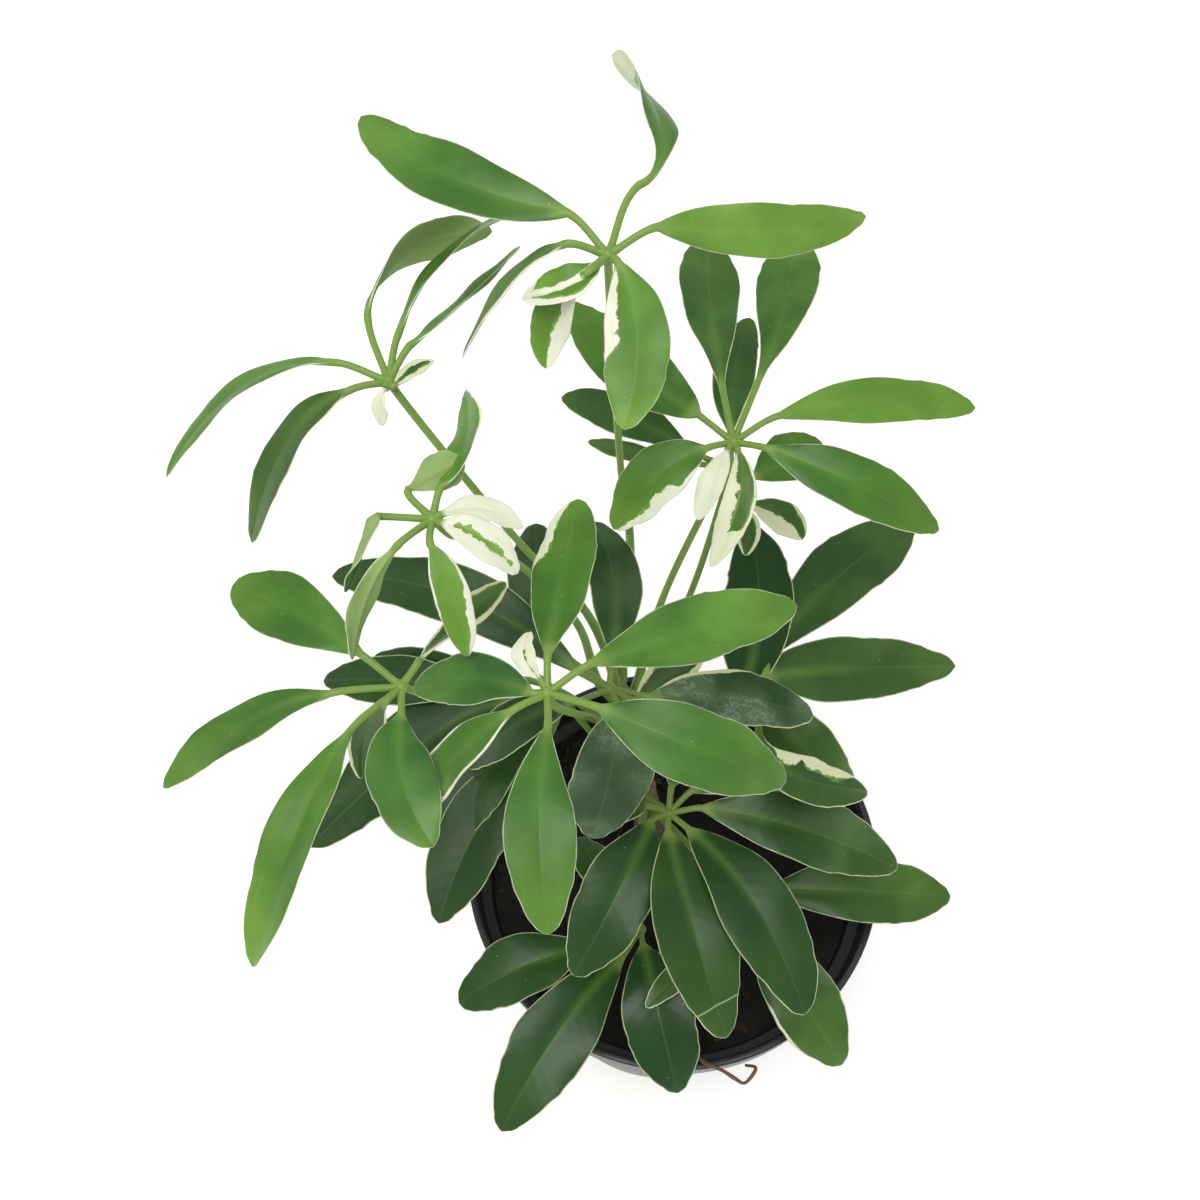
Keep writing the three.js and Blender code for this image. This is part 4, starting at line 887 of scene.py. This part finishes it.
    # Cream from the margin inwards and, on some, along the midrib, with a ragged lime edge.
    uneven = add(tree, "Math", {0: jag, 1: 1.5, 2: 0.25}, operation="MULTIPLY_ADD")
    edge = add(tree, "Math", {0: cream_width, 1: uneven}, operation="MULTIPLY")
    edge = add(tree, "Math", {0: edge, 1: margin}, operation="SUBTRACT")
    cream = add(tree, "MapRange", {0: edge, 1: -0.1, 2: 0.16}, interpolation_type="SMOOTHSTEP")
    centre = add(tree, "Math", {0: centre_width, 1: uneven}, operation="MULTIPLY")
    centre = add(tree, "Math", {0: centre, 1: off_rib}, operation="SUBTRACT")
    centre = add(tree, "MapRange", {0: centre, 1: 0.0, 2: 0.3})
    off_scar = add(tree, "Math", {0: scar}, operation="ABSOLUTE")
    healed = add(tree, "MapRange", {0: off_scar, 1: 0.1, 2: 0.35, 3: 0.4, 4: 0.0})
    cream = add(tree, "Math", {0: cream, 1: centre}, operation="MAXIMUM")
    cream = add(tree, "Math", {0: cream, 1: healed}, operation="MAXIMUM")
    ragged = add(tree, "Math", {0: streak, 1: 1.9, 2: 0.2}, operation="MULTIPLY_ADD")
    halo = add(tree, "Math", {0: cream_width, 1: ragged}, operation="MULTIPLY")
    halo = add(tree, "Math", {0: halo, 1: margin}, operation="SUBTRACT")
    halo = add(
        tree, "MapRange", {0: halo, 1: -0.15, 2: 0.3, 3: 0.0, 4: 0.5}, interpolation_type="SMOOTHSTEP",
    )
    blade = add(tree, "Mix", {0: halo, 6: green, 7: "#87a953"}, data_type="RGBA")
    yellowed = add(tree, "Math", {0: age, 1: age}, operation="MULTIPLY")
    ivory = add(tree, "Mix", {0: yellowed, 6: "#e2e5cf", 7: "#cbd09d"}, data_type="RGBA")
    tinge = add(tree, "MapRange", {0: streak, 1: 0.5, 2: 0.75, 3: 0.0, 4: 0.4})
    ivory = add(tree, "Mix", {0: tinge, 6: ivory, 7: "#b9c78f"}, data_type="RGBA")
    blade = add(tree, "Mix", {0: cream, 6: blade, 7: ivory}, data_type="RGBA")

    # The underside is paler and matt; part of its pale tone is painted light shining through the
    # blade. Stalks are plain green.
    pale_and_lit_through = add(tree, "Math", {0: cream, 1: -0.5, 2: 0.7}, operation="MULTIPLY_ADD")
    pale_and_lit_through = add(tree, "Math", {0: pale_and_lit_through, 1: under}, operation="MULTIPLY")
    blade = add(tree, "Mix", {0: pale_and_lit_through, 6: blade, 7: "#9cb672"}, data_type="RGBA")
    stalk = add(tree, "Mix", {0: fine, 6: "#668733", 7: "#86a551"}, data_type="RGBA")
    tired = add(tree, "MapRange", {0: age, 1: 0.5, 2: 1.0, 3: 0.0, 4: 0.4})
    stalk = add(tree, "Mix", {0: tired, 6: stalk, 7: "#707a45"}, data_type="RGBA")
    bare = add(tree, "MapRange", {0: on_stalk, 1: 0.1, 2: 0.9}, interpolation_type="SMOOTHSTEP")
    colour = add(tree, "Mix", {0: bare, 6: blade, 7: stalk}, data_type="RGBA")

    gloss = add(tree, "MapRange", {0: age, 1: 0.0, 2: 1.0, 3: 0.42, 4: 0.3})
    gloss = add(tree, "Math", {0: fine, 1: 0.08, 2: gloss}, operation="MULTIPLY_ADD")
    gloss = add(tree, "Math", {0: under, 1: 0.25, 2: gloss}, operation="MULTIPLY_ADD")
    veins = add(tree, "Math", {0: off_rib, 1: -0.75, 2: along}, operation="MULTIPLY_ADD")
    veins = add(tree, "Math", {0: veins, 1: 2.3}, operation="PINGPONG")
    relief = add(tree, "Math", {0: fine, 1: 0.8, 2: veins}, operation="MULTIPLY_ADD")
    wear(tree, shader, colour, gloss, relief, 0.012 * MM)
    shader.inputs["IOR"].default_value = 1.38
    return material


def knot_rings(hub):
    """The small knot that joins the leaflet stalks at the petiole's end."""
    pole = 0.04
    rows = np.linspace(pole, np.pi - pole, KNOT_ROWS)[::-1]
    turn = 2 * np.pi * np.arange(KNOT_SIDES) / KNOT_SIDES
    ring = np.stack([np.cos(turn), np.sin(turn), 0 * turn], axis=1)
    level = np.array((0, 0, KNOT_FLATNESS))
    return np.array([
        hub + KNOT_RADIUS * (math.sin(row) * ring + math.cos(row) * level) for row in rows
    ])


def make_leaf(leaf, number, tissue):
    """One leaf as one piece: petiole, knot, stalks and blades."""
    points, faces = [], []
    looks = {name: [] for name in LOOKS}

    def join(rings, look):
        start = len(points)
        points.extend(rings.reshape(-1, 3))
        faces.extend(tuple(start + i for i in face) for face in ring_faces(len(rings), rings.shape[1]))
        for name, values in looks.items():
            values.extend(np.stack(look[name], axis=-1).reshape(-1, 3))

    def stalk_look(rings):
        flat = np.zeros(rings.shape[:2])
        along = flat + np.arange(len(rings))[:, None]
        return {
            "blade_place": (flat + FAR, along, flat + number),
            "blade_edge": (flat + FAR, flat, flat),
            "blade_tint": (flat + leaf["age"], flat, flat),
            "blade_part": (flat + 1, flat, flat),
            "blade_marks": (flat + FAR, flat, flat),
        }

    line = petiole_line(leaf)
    share = np.linspace(0, 1, len(line))
    radii = PETIOLE_FOOT + (PETIOLE_TOP - PETIOLE_FOOT) * np.minimum(1, share * 2)
    from_sheath = np.linalg.norm(line - line[0], axis=1) - SHEATH_PLACE
    radii = radii + SHEATH_HEIGHT * np.exp(-(from_sheath / SHEATH_HALF_LENGTH) ** 2)
    petiole = tube_points(line, radii, PETIOLE_SIDES).reshape(len(line), PETIOLE_SIDES, 3)
    join(petiole, stalk_look(petiole))
    knot = knot_rings(np.array(leaf["hub"], float))
    join(knot, stalk_look(knot))
    for place, leaflet in enumerate(leaf["leaflets"]):
        join(*leaflet_rings(leaf, leaflet, 3.7 * number + 1.9 * place))
    piece = mesh_piece(leaf["node"] + "_foliage", np.array(points) * MM, faces, "leaf")
    for name, values in looks.items():
        flat = np.array(values, np.float32).ravel()
        piece.data.attributes.new(name, "FLOAT_VECTOR", "POINT").data.foreach_set("vector", flat)
    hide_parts(leaf["node"])
    piece.data.materials.append(tissue)


leaf_tissue = living_leaf()
for number, leaf in enumerate(LEAVES, 1):
    make_leaf(leaf, number, leaf_tissue)

# The withered stalk.
# The dry stalk of a leaf that fell: thin, brown and brittle, shrunk into ridges. It lies on the
# soil, hangs over the front of the rim and curls at its end.
WITHERED_LINE = [
    (5, -54, 123.5), (7.5, -64, 128), (6.5, -70, 139), (9, -73.6, 141.9), (15.5, -76.4, 141.4),
    (19.5, -78.8, 140.8), (22.6, -80.3, 140.4), (25.4, -78, 141.2), (26.6, -75.6, 143), (23, -75, 144),
]
WITHERED_RADIUS, WITHERED_SIDES, WITHERED_STEPS = 0.9, 14, 110
WITHERED_TAPER, WITHERED_LUMPS, WITHERED_RIDGES = 0.35, 0.12, 0.16


def dry_stalk():
    """Dead brown plant fibre, matt, darker in its creases and at its curled end."""
    material, tree, shader = finish_of("dry_leaf_stalk")
    place = add(tree, "TexCoord").node.outputs["Object"]
    fibre = add(tree, "TexNoise", {"Vector": place, "Scale": 1.1 / MM, "Detail": 6})
    brown = add(tree, "Mix", {0: fibre, 6: "#2c1f18", 7: "#8b6853"}, data_type="RGBA")
    height = add(tree, "SeparateXYZ", {0: place}).node.outputs["Z"]
    end = add(tree, "MapRange", {0: height, 1: 142.2 * MM, 2: 143.6 * MM, 3: 0.0, 4: 0.7})
    colour = add(tree, "Mix", {0: end, 6: brown, 7: "#332823"}, data_type="RGBA")
    dull = add(tree, "MapRange", {0: fibre, 1: 0.3, 2: 0.7, 3: 0.7, 4: 0.9})
    wear(tree, shader, colour, dull, fibre, 0.2 * MM)
    return material


def make_withered_stalk():
    """The shrunken stalk, ridged along its length and thinner to its end."""
    line = smooth_line(WITHERED_LINE, WITHERED_STEPS)
    share = np.linspace(0, 1, len(line))
    lumps = 1 + WITHERED_LUMPS * np.sin(37 * share)
    radii = WITHERED_RADIUS * (1 - WITHERED_TAPER * share) * lumps
    points = tube_points(line, radii, WITHERED_SIDES)
    ridges = np.tile(np.arange(WITHERED_SIDES) % 2, len(line))[:, None] * WITHERED_RIDGES
    points = points - (points - np.repeat(line, WITHERED_SIDES, axis=0)) * ridges
    faces = ring_faces(len(line), WITHERED_SIDES)
    stalk = mesh_piece("withered_leaf_stalk", points * MM, faces, "withered")
    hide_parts("withered_stalk")
    stalk.data.materials.append(dry_stalk())


make_withered_stalk()

# The studio.
# A sheet of white acrylic that glows faintly, a painted glow that keeps its shadows pale, under
# plain soft light: a bright even sky all round and one wide lamp overhead, a little to the left
# and front.
FLOOR_SIZE, FLOOR_GLOW = 6, 0.32
SKY_COLOUR, SKY_STRENGTH = (0.97, 0.985, 1.0, 1.0), 0.55
LAMP_PLACE, LAMP_AIM = Vector((-0.4, -0.6, 3.0)), Vector((0, 0, 0.2))
LAMP_WIDTH, LAMP_POWER, LAMP_COLOUR = 2.0, 62, (1.0, 0.98, 0.95)
CAMERA_PLACE = (-27 * MM, -176 * MM, 675 * MM)
CAMERA_TILT, LENS, SENSOR = 28, 45, 36


def make_studio():
    """The floor, the lamp, the sky and the camera at the photograph's angle."""
    bpy.ops.mesh.primitive_plane_add(size=FLOOR_SIZE)
    floor = bpy.context.object
    floor.name = "studio_floor"
    acrylic, tree, shader = finish_of("glowing_white_acrylic")
    place = add(tree, "TexCoord").node.outputs["Object"]
    cloud = add(tree, "TexNoise", {"Vector": place, "Scale": 40})
    colour = add(tree, "Mix", {0: cloud, 6: "#f6f6f4", 7: "#fbfbfa"}, data_type="RGBA")
    tree.links.new(colour, shader.inputs["Base Color"])
    shader.inputs["Roughness"].default_value = 0.9
    # The floor's glow is painted light: it whitens the floor and pales the shadows on it.
    shader.inputs["Emission Color"].default_value = linear("#ffffff")
    shader.inputs["Emission Strength"].default_value = FLOOR_GLOW
    floor.data.materials.append(acrylic)

    sky = bpy.data.worlds.new("soft_sky")
    sky.use_nodes = True
    light = sky.node_tree.nodes["Background"].inputs
    light["Color"].default_value = SKY_COLOUR
    light["Strength"].default_value = SKY_STRENGTH
    bpy.context.scene.world = sky

    lamp = bpy.data.lights.new("window", "AREA")
    lamp.shape, lamp.size, lamp.energy = "SQUARE", LAMP_WIDTH, LAMP_POWER
    lamp.color = LAMP_COLOUR
    holder = bpy.data.objects.new("window", lamp)
    holder.location = LAMP_PLACE
    holder.rotation_euler = (LAMP_AIM - LAMP_PLACE).to_track_quat("-Z", "Y").to_euler()
    bpy.context.scene.collection.objects.link(holder)

    camera = bpy.data.cameras.new("camera")
    camera.lens, camera.sensor_width = LENS, SENSOR
    seat = bpy.data.objects.new("camera", camera)
    seat.location, seat.rotation_euler = CAMERA_PLACE, (math.radians(CAMERA_TILT), 0, 0)
    bpy.context.scene.collection.objects.link(seat)
    bpy.context.scene.camera = seat
    bpy.context.scene.view_settings.view_transform = "Standard"


make_studio()
